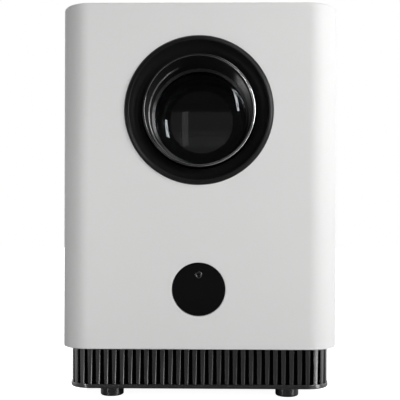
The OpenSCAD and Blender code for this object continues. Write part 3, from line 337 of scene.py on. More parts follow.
@dataclass(frozen=True)
class RibbedPlastic(MouldedPlastic):
    """Moulded plastic whose rib faces are handled smooth while the groove floors stay dull, their colour
    darkened as painted shade.

    Attributes:
        half: Half width of the outline of the ribs, in metres.
        corner: Corner radius of that outline, in metres.
        groove: Depth at which the dull floor, darkened as painted shade, begins, in metres.
        gloss: Gloss of the rib faces as a share of that on their worn edges and round the corners.
    """

    patch: float = 14 * MM
    half: float = 56.4 * MM
    corner: float = 9.4 * MM
    groove: float = 0.45 * MM
    gloss: float = 0.42

    def paint(self, graph: Graph) -> None:
        """Gloss on the ribs, most of it round the corners, dull black with painted shade between them, and
        fine grain.

        Args:
            graph: The material's node tree.
        """
        reach = self.half - self.corner
        x, y = abs(graph.axis(0)) - reach, abs(graph.axis(1) - MID_Y) - reach
        out_x, out_y = x.larger(0.0), y.larger(0.0)
        depth = self.corner - (out_x * out_x + out_y * out_y) ** 0.5 - x.larger(y).smaller(0.0)
        # Groove floors: rougher, and darkened in colour as painted shade
        inner = depth.step(self.groove * 0.4, self.groove * 1.6)
        rubbed_corner = out_x.smaller(out_y).step(0.0, 0.15 * self.corner)
        worn = graph.add("ShaderNodeAttribute", {"attribute_name": WORN}, output="Fac")
        slow = graph.noise(self.patch, 3.0)
        fine = graph.noise(self.grain, 2.0)
        rubbed = slow.between(scaled(self.colour, 0.9), scaled(self.colour, 1.1))
        graph.surface({
            # The groove floors' colour drops to 0.12 of the rib colour: painted shade
            "Base Color": inner.between(rubbed, scaled(self.colour, 0.12)),
            "Roughness": self.roughness + slow * 0.06 + fine * 0.05 + inner * 0.5 - 0.05,
            "Specular IOR Level": self.specular,
            "Coat Weight": ((1 - inner) * (self.gloss + rubbed_corner * (1 - self.gloss))).larger(worn),
            "Coat Roughness": 0.2,
            "Coat IOR": 2.4,
            "Normal": graph.bump(fine, self.relief),
        })


@dataclass(frozen=True)
class SpunBlack(Finish):
    """Black paint on a turned part: fine tool rings about the lens axis under a thin grain.

    Attributes:
        specular: The shader's specular level.
        pitch: Spacing of the rings, in metres.
        grain: Size of the grain, in metres.
        relief: Depth of rings and grain, in metres.
        swing: Range over which the rings change the roughness.
        dusty: Colour of the dust that lies on it in patches.
    """

    specular: float = 0.3
    pitch: float = 0.5 * MM
    grain: float = 0.2 * MM
    relief: float = 0.008 * MM
    swing: float = 0.12
    dusty: Colour = (0.05, 0.05, 0.052)

    def paint(self, graph: Graph) -> None:
        """Ends the material in a shader with the finish's inputs."""
        graph.surface(self.inputs(graph))

    @staticmethod
    def round_axis(graph: Graph) -> tuple[Signal, Signal, Signal]:
        """Place across, place up and distance from the lens axis, in metres."""
        across, up = graph.axis(0), graph.axis(2) - LENS_Z
        return across, up, (across * across + up * up) ** 0.5

    def inputs(self, graph: Graph) -> dict[str, object]:
        """Rings from the distance to the lens axis, broken up by noise.

        Args:
            graph: The material's node tree.

        Returns:
            The shader's inputs by the socket's name.
        """
        radius = self.round_axis(graph)[2]
        along = graph.add("ShaderNodeCombineXYZ", None, {0: radius, 1: graph.axis(1)})
        ring = graph.noise(self.pitch, 1.0, along)
        grain = graph.noise(self.grain, 2.0)
        dust = graph.noise(2.5 * MM, 4.0).step(0.66, 0.8)
        return {
            "Base Color": (dust * 0.12).between(self.colour, self.dusty),
            "Roughness": ring * self.swing + dust * 0.1 + (self.roughness - self.swing / 2),
            "Specular IOR Level": self.specular,
            "Normal": graph.bump(ring * 0.6 + grain * 0.4, self.relief),
        }


@dataclass(frozen=True)
class RubbedHoodWithPaintedGlint(SpunBlack):
    """Spun black that handling has rubbed: bare metal on the front rim, painted brighter towards the lower
    right as a highlight, and gloss on the inner wall.

    Attributes:
        crest: Radius of the rim's crest, which keeps its paint, in metres.
        crest_edge: Distances from the crest between which the paint ends, in metres.
        rim_depth: Depth down to which the rim is bare, in metres.
        metal: Colour of the bare metal at the right and lower right, where the painted highlight is
            brightest.
        least: Share of that colour on the left, where the painted highlight is weakest.
        polish: Share of the paint's roughness that is gone from the bare metal.
        line: Depths between which the left wall has its line of gloss, in metres.
        line_edge: Width over which that line fades in and out, in metres.
        wall: Depths between which the gloss of the right wall sets in, in metres.
        sheen: Gloss of the right wall as a share of that on the left.
    """

    crest: float = 23.6 * MM
    crest_edge: Point = (0.15 * MM, 0.3 * MM)
    rim_depth: float = 0.3 * MM
    metal: Colour = (0.9, 0.9, 0.91)
    least: float = 0.13
    polish: float = 0.75
    line: Point = (8.4 * MM, 12.2 * MM)
    line_edge: float = 0.8 * MM
    wall: Point = (3.0 * MM, 4.0 * MM)
    sheen: float = 0.35

    def inputs(self, graph: Graph) -> dict[str, object]:
        """Lays the bare rim, with a painted highlight towards the lower right, and the glossy parts of the
        wall over the paint.

        Args:
            graph: The material's node tree.

        Returns:
            The shader's inputs by the socket's name.
        """
        painted = super().inputs(graph)
        across, up, radius = self.round_axis(graph)
        depth = graph.axis(1) - FRONT_Y
        rim = abs(radius - self.crest).step(*self.crest_edge) * (1 - depth.step(0.0, self.rim_depth))
        # Painted highlight: the bare metal's colour is brighter towards the right and lower right
        painted_glint = ((across - up * 0.3) / radius).step(-0.2, 1.0)
        bare = painted_glint.between(scaled(self.metal, self.least), self.metal)
        aside = across / radius
        begin, end = self.line
        line = depth.step(begin, begin + self.line_edge) * (1 - depth.step(end - self.line_edge, end))
        left = line * (0.0 - aside).step(0.3, 0.7)
        right = depth.step(*self.wall) * aside.step(0.6, 0.95) * self.sheen
        return painted | {
            "Base Color": rim.between(painted["Base Color"], bare),
            "Metallic": rim,
            "Roughness": painted["Roughness"] - rim * (self.polish * (self.roughness - self.swing / 2)),
            "Coat Weight": left + right,
            "Coat Roughness": 0.2,
            "Coat IOR": 2.5,
        }


@dataclass(frozen=True)
class CoatedGlass(Finish):
    """Lens glass with a trace of dust.

    Attributes:
        index: Index of refraction, which sets how much the surface mirrors.
    """

    index: float = 1.45

    def paint(self, graph: Graph) -> None:
        """Clear glass whose gloss is broken only by dust.

        Args:
            graph: The material's node tree.
        """
        dust = graph.noise(0.5 * MM, 2.0).step(0.76, 0.86)
        haze = graph.noise(9 * MM, 3.0)
        graph.surface({
            "Base Color": (haze * 0.2).between(self.colour, scaled(self.colour, 0.9)),
            "Roughness": self.roughness + dust * 0.03,
            "IOR": self.index,
            "Transmission Weight": 1.0,
        })


@dataclass(frozen=True)
class SmokedPlate(Finish):
    """Glossy black acrylic with faint wiping marks.

    Attributes:
        specular: The shader's specular level.
        dusty: Colour of the specks of dust.
    """

    specular: float = 0.25
    dusty: Colour = (0.04, 0.04, 0.042)

    def paint(self, graph: Graph) -> None:
        """A near-black base whose gloss is broken by wiping marks.

        Args:
            graph: The material's node tree.
        """
        wipe = graph.noise(5 * MM, 4.0, graph.stretched((0.4, 1.0, 2.2)))
        speck = graph.noise(0.5 * MM, 2.0).step(0.73, 0.8)
        graph.surface({
            "Base Color": (speck * 0.15).between(self.colour, self.dusty),
            "Roughness": self.roughness + wipe * 0.08 + speck * 0.1,
            "Specular IOR Level": self.specular,
        })


@dataclass(frozen=True)
class FootRubber(Finish):
    """Smooth rubber with fine pores and patches of grey dust.

    Attributes:
        specular: The shader's specular level.
        dusty: Colour of the dust.
    """

    specular: float = 0.8
    dusty: Colour = (0.06, 0.058, 0.055)

    def paint(self, graph: Graph) -> None:
        """Pores as bump, dust as lighter patches.

        Args:
            graph: The material's node tree.
        """
        pores = graph.noise(0.45 * MM, 3.0)
        dust = graph.noise(2.2 * MM, 4.0).step(0.55, 0.8)
        graph.surface({
            "Base Color": (dust * 0.4).between(self.colour, self.dusty),
            "Roughness": self.roughness + pores * 0.12 - 0.06,
            "Specular IOR Level": self.specular,
            "Normal": graph.bump(pores, 0.006 * MM),
        })


@dataclass(frozen=True)
class WorkedMetal(Finish):
    """Bare metal with drawn or turned marks along one direction.

    Attributes:
        marks: Stretch of the marks along x, y and z; a small number runs them along that axis.
    """

    marks: Triple = (1.0, 1.0, 0.05)

    def paint(self, graph: Graph) -> None:
        """Streaks on colour, gloss and relief, with a few darker stains.

        Args:
            graph: The material's node tree.
        """
        streak = graph.noise(0.25 * MM, 3.0, graph.stretched(self.marks))
        stain = graph.noise(4 * MM, 4.0).step(0.5, 0.85)
        colour = streak.between(scaled(self.colour, 0.86), self.colour)
        graph.surface({
            "Base Color": (stain * 0.35).between(colour, scaled(self.colour, 0.6)),
            "Metallic": 1.0,
            "Roughness": self.roughness + streak * 0.14 + stain * 0.12 - 0.1,
            "Normal": graph.bump(streak, 0.004 * MM),
        })


@dataclass(frozen=True)
class SocketMetal(WorkedMetal):
    """Tinned socket shells whose inner tongues are dark plastic.

    Attributes:
        plastic: Colour of the tongues.
    """

    plastic: Colour = (0.012, 0.012, 0.013)

    def paint(self, graph: Graph) -> None:
        """Metal with streaks, and plastic where a tongue lies.

        Args:
            graph: The material's node tree.
        """
        inner = 0.0
        for x, z, half_x, half_z in SOCKET_TONGUES:
            near_x = abs(graph.axis(0) - x) < half_x
            near_z = abs(graph.axis(2) - z) < half_z
            inner = near_x * near_z + inner
        streak = graph.noise(0.3 * MM, 3.0, graph.stretched(self.marks))
        shell = streak.between(scaled(self.colour, 0.8), self.colour)
        graph.surface({
            "Base Color": inner.between(shell, self.plastic),
            "Metallic": 1 - inner,
            "Roughness": self.roughness + streak * 0.14 - 0.07 + inner * 0.2,
        })


@dataclass(frozen=True)
class CircuitBoard(Finish):
    """Solder mask over copper tracks, with tinned dots where pins come through.

    Attributes:
        tin: Colour of the dots.
    """

    tin: Colour = (0.55, 0.53, 0.48)

    def paint(self, graph: Graph) -> None:
        """Tracks from a brick pattern, dots from cells.

        Args:
            graph: The material's node tree.
        """
        upright = graph.add("ShaderNodeMapping", None, {
            "Vector": graph.place(), "Rotation": (math.pi / 2, 0.0, 0.0)})
        tracks = 1 - graph.bricks((6.5 * MM, 1.3 * MM), 0.25 * MM, offset=0.5, vector=upright)
        dots = graph.add(
            "ShaderNodeTexVoronoi", None,
            {"Vector": graph.place(), "Scale": 1.0 / (3.1 * MM)}, output="Distance") < 0.16
        mask = tracks.between(scaled(self.colour, 1.6), self.colour)
        graph.surface({
            "Base Color": dots.between(mask, self.tin),
            "Metallic": dots * 0.9,
            "Roughness": self.roughness + graph.noise(3 * MM) * 0.1 - dots * 0.1,
            "Normal": graph.bump(1 - tracks, 0.03 * MM),
        })


@dataclass(frozen=True)
class TracedFilm(Finish):
    """Amber film with a row of fine copper lines that run along the depth."""

    def paint(self, graph: Graph) -> None:
        """Lines across the width, laid over the film's own mottling.

        Args:
            graph: The material's node tree.
        """
        line = graph.add("ShaderNodeMath", {"operation": "PINGPONG"}, {0: graph.axis(0), 1: 0.4 * MM})
        copper = line.step(0.16 * MM, 0.22 * MM)
        mottle = graph.noise(2 * MM)
        film = mottle.between(self.colour, scaled(self.colour, 1.2))
        graph.surface({
            "Base Color": copper.between(scaled(self.colour, 0.55), film),
            "Roughness": self.roughness + mottle * 0.1,
        })


@dataclass(frozen=True)
class LampDice(Finish):
    """A light source: a grid of dice under a layer of phosphor.

    Attributes:
        lines: Colour of the lines between the dice.
    """

    lines: Colour = (0.8, 0.8, 0.76)

    def paint(self, graph: Graph) -> None:
        """Squares of phosphor between paler lines.

        Args:
            graph: The material's node tree.
        """
        grid = graph.bricks((2.4 * MM, 2.4 * MM), 0.2 * MM, soft=0.2)
        grain = graph.noise(0.3 * MM)
        phosphor = grain.between(self.colour, scaled(self.colour, 0.85))
        graph.surface({
            "Base Color": grid.between(phosphor, self.lines),
            "Roughness": self.roughness + grain * 0.1,
        })


@dataclass(frozen=True)
class PictureCell(Finish):
    """The liquid crystal panel: dark glass with a fine grid of cells."""

    def paint(self, graph: Graph) -> None:
        """A grid as faint lines under gloss.

        Args:
            graph: The material's node tree.
        """
        grid = graph.bricks((0.4 * MM, 0.4 * MM), 0.04 * MM)
        graph.surface({
            "Base Color": grid.between(self.colour, scaled(self.colour, 2.2)),
            "Roughness": self.roughness + graph.noise(6 * MM) * 0.04,
        })


@dataclass(frozen=True)
class SilveredMirror(Finish):
    """A first-surface mirror with a breath of haze."""

    def paint(self, graph: Graph) -> None:
        """A bright metal whose gloss wanders a little.

        Args:
            graph: The material's node tree.
        """
        haze = graph.noise(12 * MM, 3.0)
        graph.surface({
            "Base Color": haze.between(self.colour, scaled(self.colour, 0.94)),
            "Metallic": 1.0,
            "Roughness": self.roughness + haze * 0.04,
        })


# The tongues in the metal sockets: x and z of the middle, half the width and half the height
SOCKET_TONGUES = (
    (5.967 * MM, 103.05 * MM, 5.2 * MM, 0.9 * MM),
    (27.4 * MM, 108.55 * MM, 5.2 * MM, 0.85 * MM),
    (27.4 * MM, 99.35 * MM, 5.2 * MM, 0.85 * MM),
)

WHITE = MouldedPlastic("white_plastic", (0.80, 0.80, 0.795), 0.5, specular=0.35, drift=0.01)
BLACK = MouldedPlastic("black_plastic", (0.011, 0.011, 0.012), 0.42, specular=0.35)
RIBS = RibbedPlastic("black_plastic-ribs", (0.006, 0.006, 0.0065), 0.4, specular=0.06)
BEZEL = SpunBlack("bezel_black", (0.007, 0.007, 0.0075), 0.34, specular=0.27)
HOOD = RubbedHoodWithPaintedGlint("lens_black", (0.002, 0.002, 0.0025), 0.5, specular=0.15, pitch=0.35 * MM)
RING = WorkedMetal("lens_black-ring", (0.035, 0.035, 0.036), 0.26, marks=(1.0, 1.0, 1.0))
GLASS = CoatedGlass("optical_glass", (0.86, 0.89, 0.92), 0.0)
INNER_GLASS = CoatedGlass("optical_glass-inner", (0.86, 0.89, 0.92), 0.0, index=1.6)
# The rear glass is near-black and opaque: painted shade that stands for the dark inside of the lens
SHADED_REAR_GLASS = SmokedPlate("optical_glass-deep", (0.0012, 0.0012, 0.0018), 0.05, specular=0.02)
WINDOW = SmokedPlate("window_black", (0.002, 0.002, 0.0025), 0.1, specular=0.14)
EYE = SmokedPlate("window_black-eye", (0.002, 0.002, 0.003), 0.07, specular=1.0)
RUBBER = FootRubber("rubber", (0.012, 0.012, 0.012), 0.25)
STEEL = WorkedMetal("steel", (0.56, 0.56, 0.58), 0.36)
ALUMINIUM = WorkedMetal("aluminium", (0.74, 0.75, 0.77), 0.42, marks=(1.0, 0.05, 1.0))
BRASS = WorkedMetal("brass", (0.72, 0.52, 0.24), 0.34, marks=(1.0, 1.0, 4.0))
MIRROR = SilveredMirror("mirror", (0.9, 0.91, 0.92), 0.02)
REFLECTOR = MouldedPlastic("reflector_white", (0.86, 0.86, 0.84), 0.55, drift=0.015)
LAMP = LampDice("led_yellow", (0.78, 0.62, 0.1), 0.6)
CELL = PictureCell("lcd_dark", (0.02, 0.022, 0.026), 0.12)
FILM = TracedFilm("flex_amber", (0.5, 0.22, 0.03), 0.35)
BOARD = CircuitBoard("board_green", (0.012, 0.085, 0.035), 0.34)
DEVICE = MouldedPlastic("device_black", (0.02, 0.02, 0.022), 0.5, drift=0.05)
SOCKET = SocketMetal("steel-socket", (0.62, 0.62, 0.64), 0.3)

# The rear lens takes the near-black plate of painted shade in place of clear glass
OWN_FINISH = {"hdmi_socket": SOCKET, "usb_sockets": SOCKET, "rear_lens": SHADED_REAR_GLASS}

FINISHES = (WHITE, BLACK, BEZEL, HOOD, GLASS, WINDOW, RUBBER, STEEL, ALUMINIUM, BRASS, MIRROR,
            REFLECTOR, LAMP, CELL, FILM, BOARD, DEVICE)


# Modelling


def arc(centre: Point, radius: float, start: float, end: float, steps: int) -> Section:
    """Points on an arc, its ends included.

    Args:
        centre: The arc's centre.
        radius: Its radius.
        start: Angle of the first point, in degrees.
        end: Angle of the last point, in degrees.
        steps: Number of parts.

    Returns:
        The points in order.
    """
    turns = [math.radians(start + (end - start) * i / steps) for i in range(steps + 1)]
    return [(centre[0] + radius * math.cos(a), centre[1] + radius * math.sin(a)) for a in turns]


def bearing(centre: Point, point: Point) -> float:
    """Angle at which a point is seen from a centre, in degrees."""
    return math.degrees(math.atan2(point[1] - centre[1], point[0] - centre[0]))


def millimetres(section: Section) -> Section:
    """A section given in millimetres, in metres."""
    return [(a * MM, b * MM) for a, b in section]


def near(first: float, second: float) -> bool:
    """Says whether two lengths are the same but for rounding."""
    return abs(first - second) < NEAR


def both_ends(test: Callable[[Vector], bool]) -> EdgeTest:
    """A test of an edge that asks the same of both its ends."""
    return lambda edge: all(test(vertex.co) for vertex in edge.verts)


class Modeller:
    """One new mesh piece, modelled with Blender's operators at its place in the row frame."""

    def __init__(self, name: str) -> None:
        """Takes the object that was just made as the piece.

        Args:
            name: Name of the piece.
        """
        self.obj = bpy.context.object
        self.obj.name = name
        self.obj.data.name = name

    @staticmethod
    def clear() -> None:
        """Leaves edit mode and deselects everything."""
        if bpy.context.object and bpy.context.object.mode != "OBJECT":
            bpy.ops.object.mode_set(mode="OBJECT")
        bpy.ops.object.select_all(action="DESELECT")

    @classmethod
    def drawn(cls, name: str, points: Sequence[Vector]) -> Modeller:
        """Draws a closed outline by drawing out one vertex of a plane.

        Args:
            name: Name of the piece.
            points: The corners, in order, without the first one again.

        Returns:
            The piece, its outline a loop of edges.
        """
        cls.clear()
        bpy.ops.mesh.primitive_plane_add(size=MM)
        piece = cls(name)
        with piece.edit():
            bpy.ops.mesh.merge(type="CENTER")
            bpy.ops.transform.translate(value=points[0])
            for here, there in zip(points, [*points[1:], points[0]]):
                bpy.ops.mesh.extrude_vertices_move(TRANSFORM_OT_translate={"value": there - here})
            piece.weld()
        return piece

    @classmethod
    def turned(
        cls, name: str, section: Section, about: Vector, steps: int, axis: Axis = Axis.Y
    ) -> Modeller:
        """Turns a section about an axis.

        Args:
            name: Name of the piece.
            section: Corners, as distance from the axis and place along it, in millimetres.
            about: The point on the axis from which the section is measured.
            steps: Number of parts of the turn.
            axis: Direction of the axis.

        Returns:
            The piece.
        """
        along = Vector(axis.value)
        piece = cls.drawn(
            name, [about + Vector((r, 0.0, 0.0)) + t * along for r, t in millimetres(section)])
        with piece.edit():
            bpy.ops.mesh.spin(steps=steps, angle=2 * math.pi, center=about, axis=axis.value)
        piece.close()
        return piece

    @classmethod
    def carried(
        cls, name: str, section: Section, width: float, depth: float, radius: float, steps: int = 24
    ) -> Modeller:
        """Carries the section of a wall round a rectangle with round corners.

        Args:
            name: Name of the piece.
            section: Corners, as x outwards from the rectangle and z, in millimetres.
            width: Outer width of the rectangle, in millimetres.
            depth: Its outer depth, in millimetres.
            radius: Its outer corner radius, in millimetres.
            steps: Parts of a corner.

        Returns:
            The piece.
        """
        x, y = (width / 2 - radius) * MM, (depth / 2 - radius) * MM
        start = Vector((width / 2 * MM, MID_Y - y, 0.0))
        piece = cls.drawn(name, [start + Vector((out, 0.0, z)) for out, z in millimetres(section)])
        runs = ((0, 2 * y), (-2 * x, 0), (0, -2 * y), (2 * x, 0))
        corners = ((x, y), (-x, y), (-x, -y), (x, -y))
        with piece.edit():
            for run, corner in zip(runs, corners):
                bpy.ops.mesh.extrude_region_move(TRANSFORM_OT_translate={"value": (*run, 0)})
                bpy.ops.mesh.spin(
                    steps=steps, angle=math.pi / 2, center=(corner[0], MID_Y + corner[1], 0), axis=(0, 0, -1))
        piece.close()
        return piece

    @classmethod
    def prism(cls, name: str, points: Sequence[Vector], along: Vector) -> Modeller:
        """Fills an outline and draws it out into a solid.

        Args:
            name: Name of the piece.
            points: The outline's corners, in order.
            along: Direction and length of the solid.

        Returns:
            The piece.
        """
        piece = cls.drawn(name, points)
        with piece.edit():
            bpy.ops.mesh.edge_face_add()
            bpy.ops.mesh.extrude_region_move(TRANSFORM_OT_translate={"value": along})
        piece.close()
        return piece

    @classmethod
    def solid(cls, name: str, primitive: Callable[..., object], **options: object) -> Modeller:
        """Adds one of Blender's primitives and moves its place, turn and scale into its mesh.

        Args:
            name: Name of the piece.
            primitive: The operator that adds it.
            options: The operator's options.

        Returns:
            The piece.
        """
        cls.clear()
        primitive(**options)
        piece = cls(name)
        bpy.ops.object.transform_apply(location=True, rotation=True, scale=True)
        return piece

    @classmethod
    def block(cls, name: str, low: Vector, high: Vector) -> Modeller:
        """Adds a box between its lowest and its highest corner."""
        return cls.solid(
            name, bpy.ops.mesh.primitive_cube_add, size=1.0, location=(low + high) / 2, scale=high - low)

    @classmethod
    def drum(cls, name: str, centre: Vector, radius: float, length: float, sides: int = 128) -> Modeller:
        """Adds a cylinder whose axis runs along the depth through its centre."""
        return cls.solid(
            name, bpy.ops.mesh.primitive_cylinder_add, vertices=sides, radius=radius, depth=length,
            location=centre, rotation=(math.pi / 2, 0, 0))

    @classmethod
    def from_node(cls, name: str, node: str) -> Modeller:
        """Copies a CAD node's mesh, merges its loose triangles and joins those of a plane.

        Args:
            name: Name of the piece.
            node: Name of the CAD node.

        Returns:
            The piece.
        """
        cls.clear()
        copy = bpy.data.objects.new(name, frame["nodes"][node].data.copy())
        copy.data.materials.clear()
        bpy.context.scene.collection.objects.link(copy)
        bpy.context.view_layer.objects.active = copy
        piece = cls(name)
        with piece.edit():
            piece.weld()
            bpy.ops.mesh.dissolve_limited(angle_limit=FLAT)
        return piece

    def pick(self) -> None:
        """Makes this piece the active object and the only selected one."""
        self.clear()
        self.obj.select_set(True)
        bpy.context.view_layer.objects.active = self.obj

    @contextmanager
    def edit(self) -> Iterator[bmesh.types.BMesh]:
        """Opens the piece in edit mode with everything on it selected.

        Yields:
            The mesh in edit mode.
        """
        self.pick()
        bpy.ops.object.mode_set(mode="EDIT")
        bpy.ops.mesh.select_mode(type="VERT")
        bpy.ops.mesh.select_all(action="SELECT")
        yield bmesh.from_edit_mesh(self.obj.data)
        bpy.ops.object.mode_set(mode="OBJECT")

    def weld(self) -> None:
        """Merges doubled vertices, in edit mode."""
        bpy.ops.mesh.select_all(action="SELECT")
        bpy.ops.mesh.remove_doubles(threshold=DOUBLED)

    def close(self) -> None:
        """Merges doubles and turns all faces outwards."""
        with self.edit():
            self.weld()
            bpy.ops.mesh.normals_make_consistent(inside=False)

    def pick_edges(self, mesh: bmesh.types.BMesh, test: EdgeTest) -> int:
        """Selects only the edges that pass a test.

        Args:
            mesh: The mesh in edit mode.
            test: Says whether an edge is taken.

        Returns:
            The number of edges taken.
        """
        bpy.ops.mesh.select_all(action="DESELECT")
        bpy.ops.mesh.select_mode(type="EDGE")
        taken = [edge for edge in mesh.edges if test(edge)]
        for edge in taken:
            edge.select_set(True)
        mesh.select_flush_mode()
        bmesh.update_edit_mesh(self.obj.data)
        return len(taken)

    def round_edges(self, test: EdgeTest, width: float, steps: int = 2, worn: bool = False) -> None:
        """Bevels the sharp edges that pass a test.

        Args:
            test: Says whether an edge is taken.
            width: Width of the bevel, in millimetres.
            steps: Number of facets across it.
            worn: Whether the new facets are marked as worn for the finish.
        """
        with self.edit() as mesh:
            count = self.pick_edges(
                mesh, lambda e: e.is_manifold and e.calc_face_angle(0.0) > SHARP and test(e))
            if count:
                bpy.ops.mesh.bevel(offset=width * MM, segments=steps, profile=0.5, affect="EDGES")
            if count and worn:
                mark = mesh.faces.layers.float.new(WORN)
                for face in mesh.faces:
                    face[mark] = float(face.select)
            LOG.debug("%s: %d edges rounded", self.obj.name, count)

    def cut(self, *cutters: Modeller) -> None:
        """Takes other pieces out of this one and deletes them."""
        for cutter in cutters:
            self._combine(cutter, Joining.CUT)

    def unite(self, other: Modeller) -> None:
        """Makes this piece and another one solid."""
        self._combine(other, Joining.UNITE)

    def _combine(self, other: Modeller, joining: Joining) -> None:
        """Applies a Boolean modifier with another piece and deletes that piece.

        Args:
            other: The other piece.
            joining: What is done with it.
        """
        modifier = self.obj.modifiers.new("cut", "BOOLEAN")
        modifier.operation = joining.value
        modifier.solver = "EXACT"
        modifier.object = other.obj
        self._apply(modifier)
        mesh = other.obj.data
        bpy.data.objects.remove(other.obj)
        bpy.data.meshes.remove(mesh)

    def _apply(self, modifier: bpy.types.Modifier) -> None:
        """Applies one of the piece's modifiers."""
        self.pick()
        bpy.ops.object.modifier_apply(modifier=modifier.name)

    def copied(self, name: str, place: Matrix) -> Modeller:
        """Copies the piece, with a mesh of its own.

        Args:
            name: Name of the copy.
            place: How the copy is moved and turned.

        Returns:
            The copy.
        """
        copy = self.obj.copy()
        copy.data = self.obj.data.copy()
        copy.data.transform(place)
        bpy.context.scene.collection.objects.link(copy)
        bpy.context.view_layer.objects.active = copy
        return type(self)(name)

    def scatter(self, places: Sequence[Matrix]) -> None:
        """Copies the piece to each place and joins the copies into it.

        Args:
            places: Where each copy goes; the piece itself takes the first.
        """
        copies = [self.copied(f"{self.obj.name}_copy", place) for place in places[1:]]
        self.obj.data.transform(places[0])
        self.pick()
        for copy in copies:
            copy.obj.select_set(True)
        bpy.ops.object.join()

    def dress(
        self, finish: Finish, body: Body, *nodes: str, angle: float = 35.0, weighted: bool = True
    ) -> None:
        """Gives the piece its shading and finish and sets it on its body.

        Args:
            finish: The finish.
            body: The body that it rides on.
            nodes: CAD nodes that it stands for.
            angle: Edges sharper than this stay sharp, in degrees.
            weighted: Whether large faces pull the shading flat.
        """
        self.pick()
        bpy.ops.object.shade_smooth_by_angle(angle=math.radians(angle))
        if weighted:
            modifier = self.obj.modifiers.new("flat", "WEIGHTED_NORMAL")
            modifier.keep_sharp = True
            modifier.weight = 100
            self._apply(modifier)
        self.obj.data.materials.clear()
        self.obj.data.materials.append(finish.material())
        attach(self.obj, body.value)
        if nodes:
            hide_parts(*nodes)
        LOG.info("%s: %d faces, %s", self.obj.name, len(self.obj.data.polygons), finish.slot)


# Sub-assemblies


@dataclass
class Case:
    """The white sleeve, its lid and the openings in it. Sizes are in millimetres."""

    width: float = 120.0
    depth: float = 120.0
    corner: float = 13.0
    wall: float = 2.4
    bottom: float = 22.0
    bottom_round: float = 0.6
    top: float = 170.0
    top_round: float = 1.0
    top_inner_round: float = 0.3
    ledge: float = 2.2
    return_in: float = 3.35
    return_h: float = 2.4
    lid_drop: float = 0.7
    lid_t: float = 2.0
    lid_round: float = 0.4
    lid_border: float = 8.0
    lid_gap: float = 0.25
    lid_lip_t: float = 1.4
    lid_lip_h: float = 3.0
    lens_hole: float = 30.2
    window_hole: float = 11.45
    rear_w: float = 88.0
    rear_low: float = 30.0
    rear_high: float = 156.0
    rear_corner: float = 6.0
    hole_round: float = 0.3
    cutter_length: float = 12.0
    rim_margin: float = 0.5

    def section(self) -> Section:
        """Section of the sleeve's wall, x measured outwards from its outer face.

        Returns:
            Its corners, in millimetres.
        """
        ledge_z = self.top - self.lid_drop - self.lid_t
        inner = -self.wall
        soft = self.top_inner_round
        return [
            *arc((-self.bottom_round, self.bottom + self.bottom_round), self.bottom_round, -90, 0, 4),
            *arc((-self.top_round, self.top - self.top_round), self.top_round, 0, 90, 6),
            *arc((inner + soft, self.top - soft), soft, 90, 180, 3),
            (inner, ledge_z), (inner - self.ledge, ledge_z),
            (inner - self.ledge, ledge_z - self.ledge), (inner, ledge_z - self.ledge),
            (inner, self.bottom + self.return_h), (-self.return_in, self.bottom + self.return_h),
            (-self.return_in, self.bottom),
        ]

    def build(self) -> None:
        """Models and dresses the sleeve and the lid."""
        self.build_sleeve()
        self.build_lid()

    def build_sleeve(self) -> None:
        """Carries the wall round the case, then cuts and softens its openings."""
        sleeve = Modeller.carried("sleeve_shell", self.section(), self.width, self.depth, self.corner)
        through = self.cutter_length * MM
        sleeve.cut(
            Modeller.drum("lens_cutter", LENS_AXIS, self.lens_hole * MM, through),
            Modeller.drum("window_cutter", WINDOW_AXIS, self.window_hole * MM, through),
            self.rear_cutter())
        window_edge = (self.window_hole + self.rim_margin) * MM
        sleeve.round_edges(
            both_ends(lambda p: near(p.y, FRONT_Y) and math.hypot(p.x, p.z - WINDOW_Z) < window_edge),
            self.hole_round, 3)
        back = FRONT_Y + self.depth * MM
        side = (self.rear_w / 2 + self.rim_margin) * MM
        low, high = (self.rear_low - self.rim_margin) * MM, (self.rear_high + self.rim_margin) * MM
        sleeve.round_edges(
            both_ends(lambda p: near(p.y, back) and abs(p.x) < side and low < p.z < high), self.hole_round)
        sleeve.dress(WHITE, Body.HOUSING, "outer_sleeve")

    def rear_cutter(self) -> Modeller:
        """A block with round corners that opens the rear wall.

        Returns:
            The block.
        """
        back = FRONT_Y + self.depth * MM
        half, reach = self.rear_w / 2 * MM, self.cutter_length / 2 * MM
        cutter = Modeller.block(
            "rear_cutter", Vector((-half, back - reach, self.rear_low * MM)),
            Vector((half, back + reach, self.rear_high * MM)))
        cutter.round_edges(
            lambda e: not near(e.verts[0].co.y, e.verts[1].co.y), self.rear_corner, 12)
        return cutter

    def build_lid(self) -> None:
        """Carries the lid's edge and lip round and closes its two faces."""
        gap = self.wall + self.lid_gap
        high = self.top - self.lid_drop
        low = high - self.lid_t
        lip, lip_low = -self.ledge, low - self.lid_lip_h
        section = [
            (-self.lid_border, high), (-self.lid_border, low), (lip - self.lid_lip_t, low),
            (lip - self.lid_lip_t, lip_low), (lip, lip_low), (lip, low), (0.0, low),
            *arc((-self.lid_round, high - self.lid_round), self.lid_round, 0, 90, 4)]
        lid = Modeller.carried(
            "top_lid", section, self.width - 2 * gap, self.depth - 2 * gap, self.corner - gap)
        inner = (self.width / 2 - gap - self.lid_border) * MM + NEAR
        with lid.edit() as mesh:
            border = [face for face in mesh.faces
                      if all(max(abs(v.co.x), abs(v.co.y - MID_Y)) < inner for v in face.verts)]
            bpy.ops.mesh.select_all(action="DESELECT")
            bpy.ops.mesh.select_mode(type="FACE")
            for face in border:
                face.select_set(True)
            bmesh.update_edit_mesh(lid.obj.data)
            bpy.ops.mesh.delete(type="FACE")
            bpy.ops.mesh.select_mode(type="EDGE")
            bpy.ops.mesh.select_non_manifold()
            bpy.ops.mesh.fill_holes(sides=0)
        lid.close()
        lid.dress(WHITE, Body.HOUSING, "top_cover")


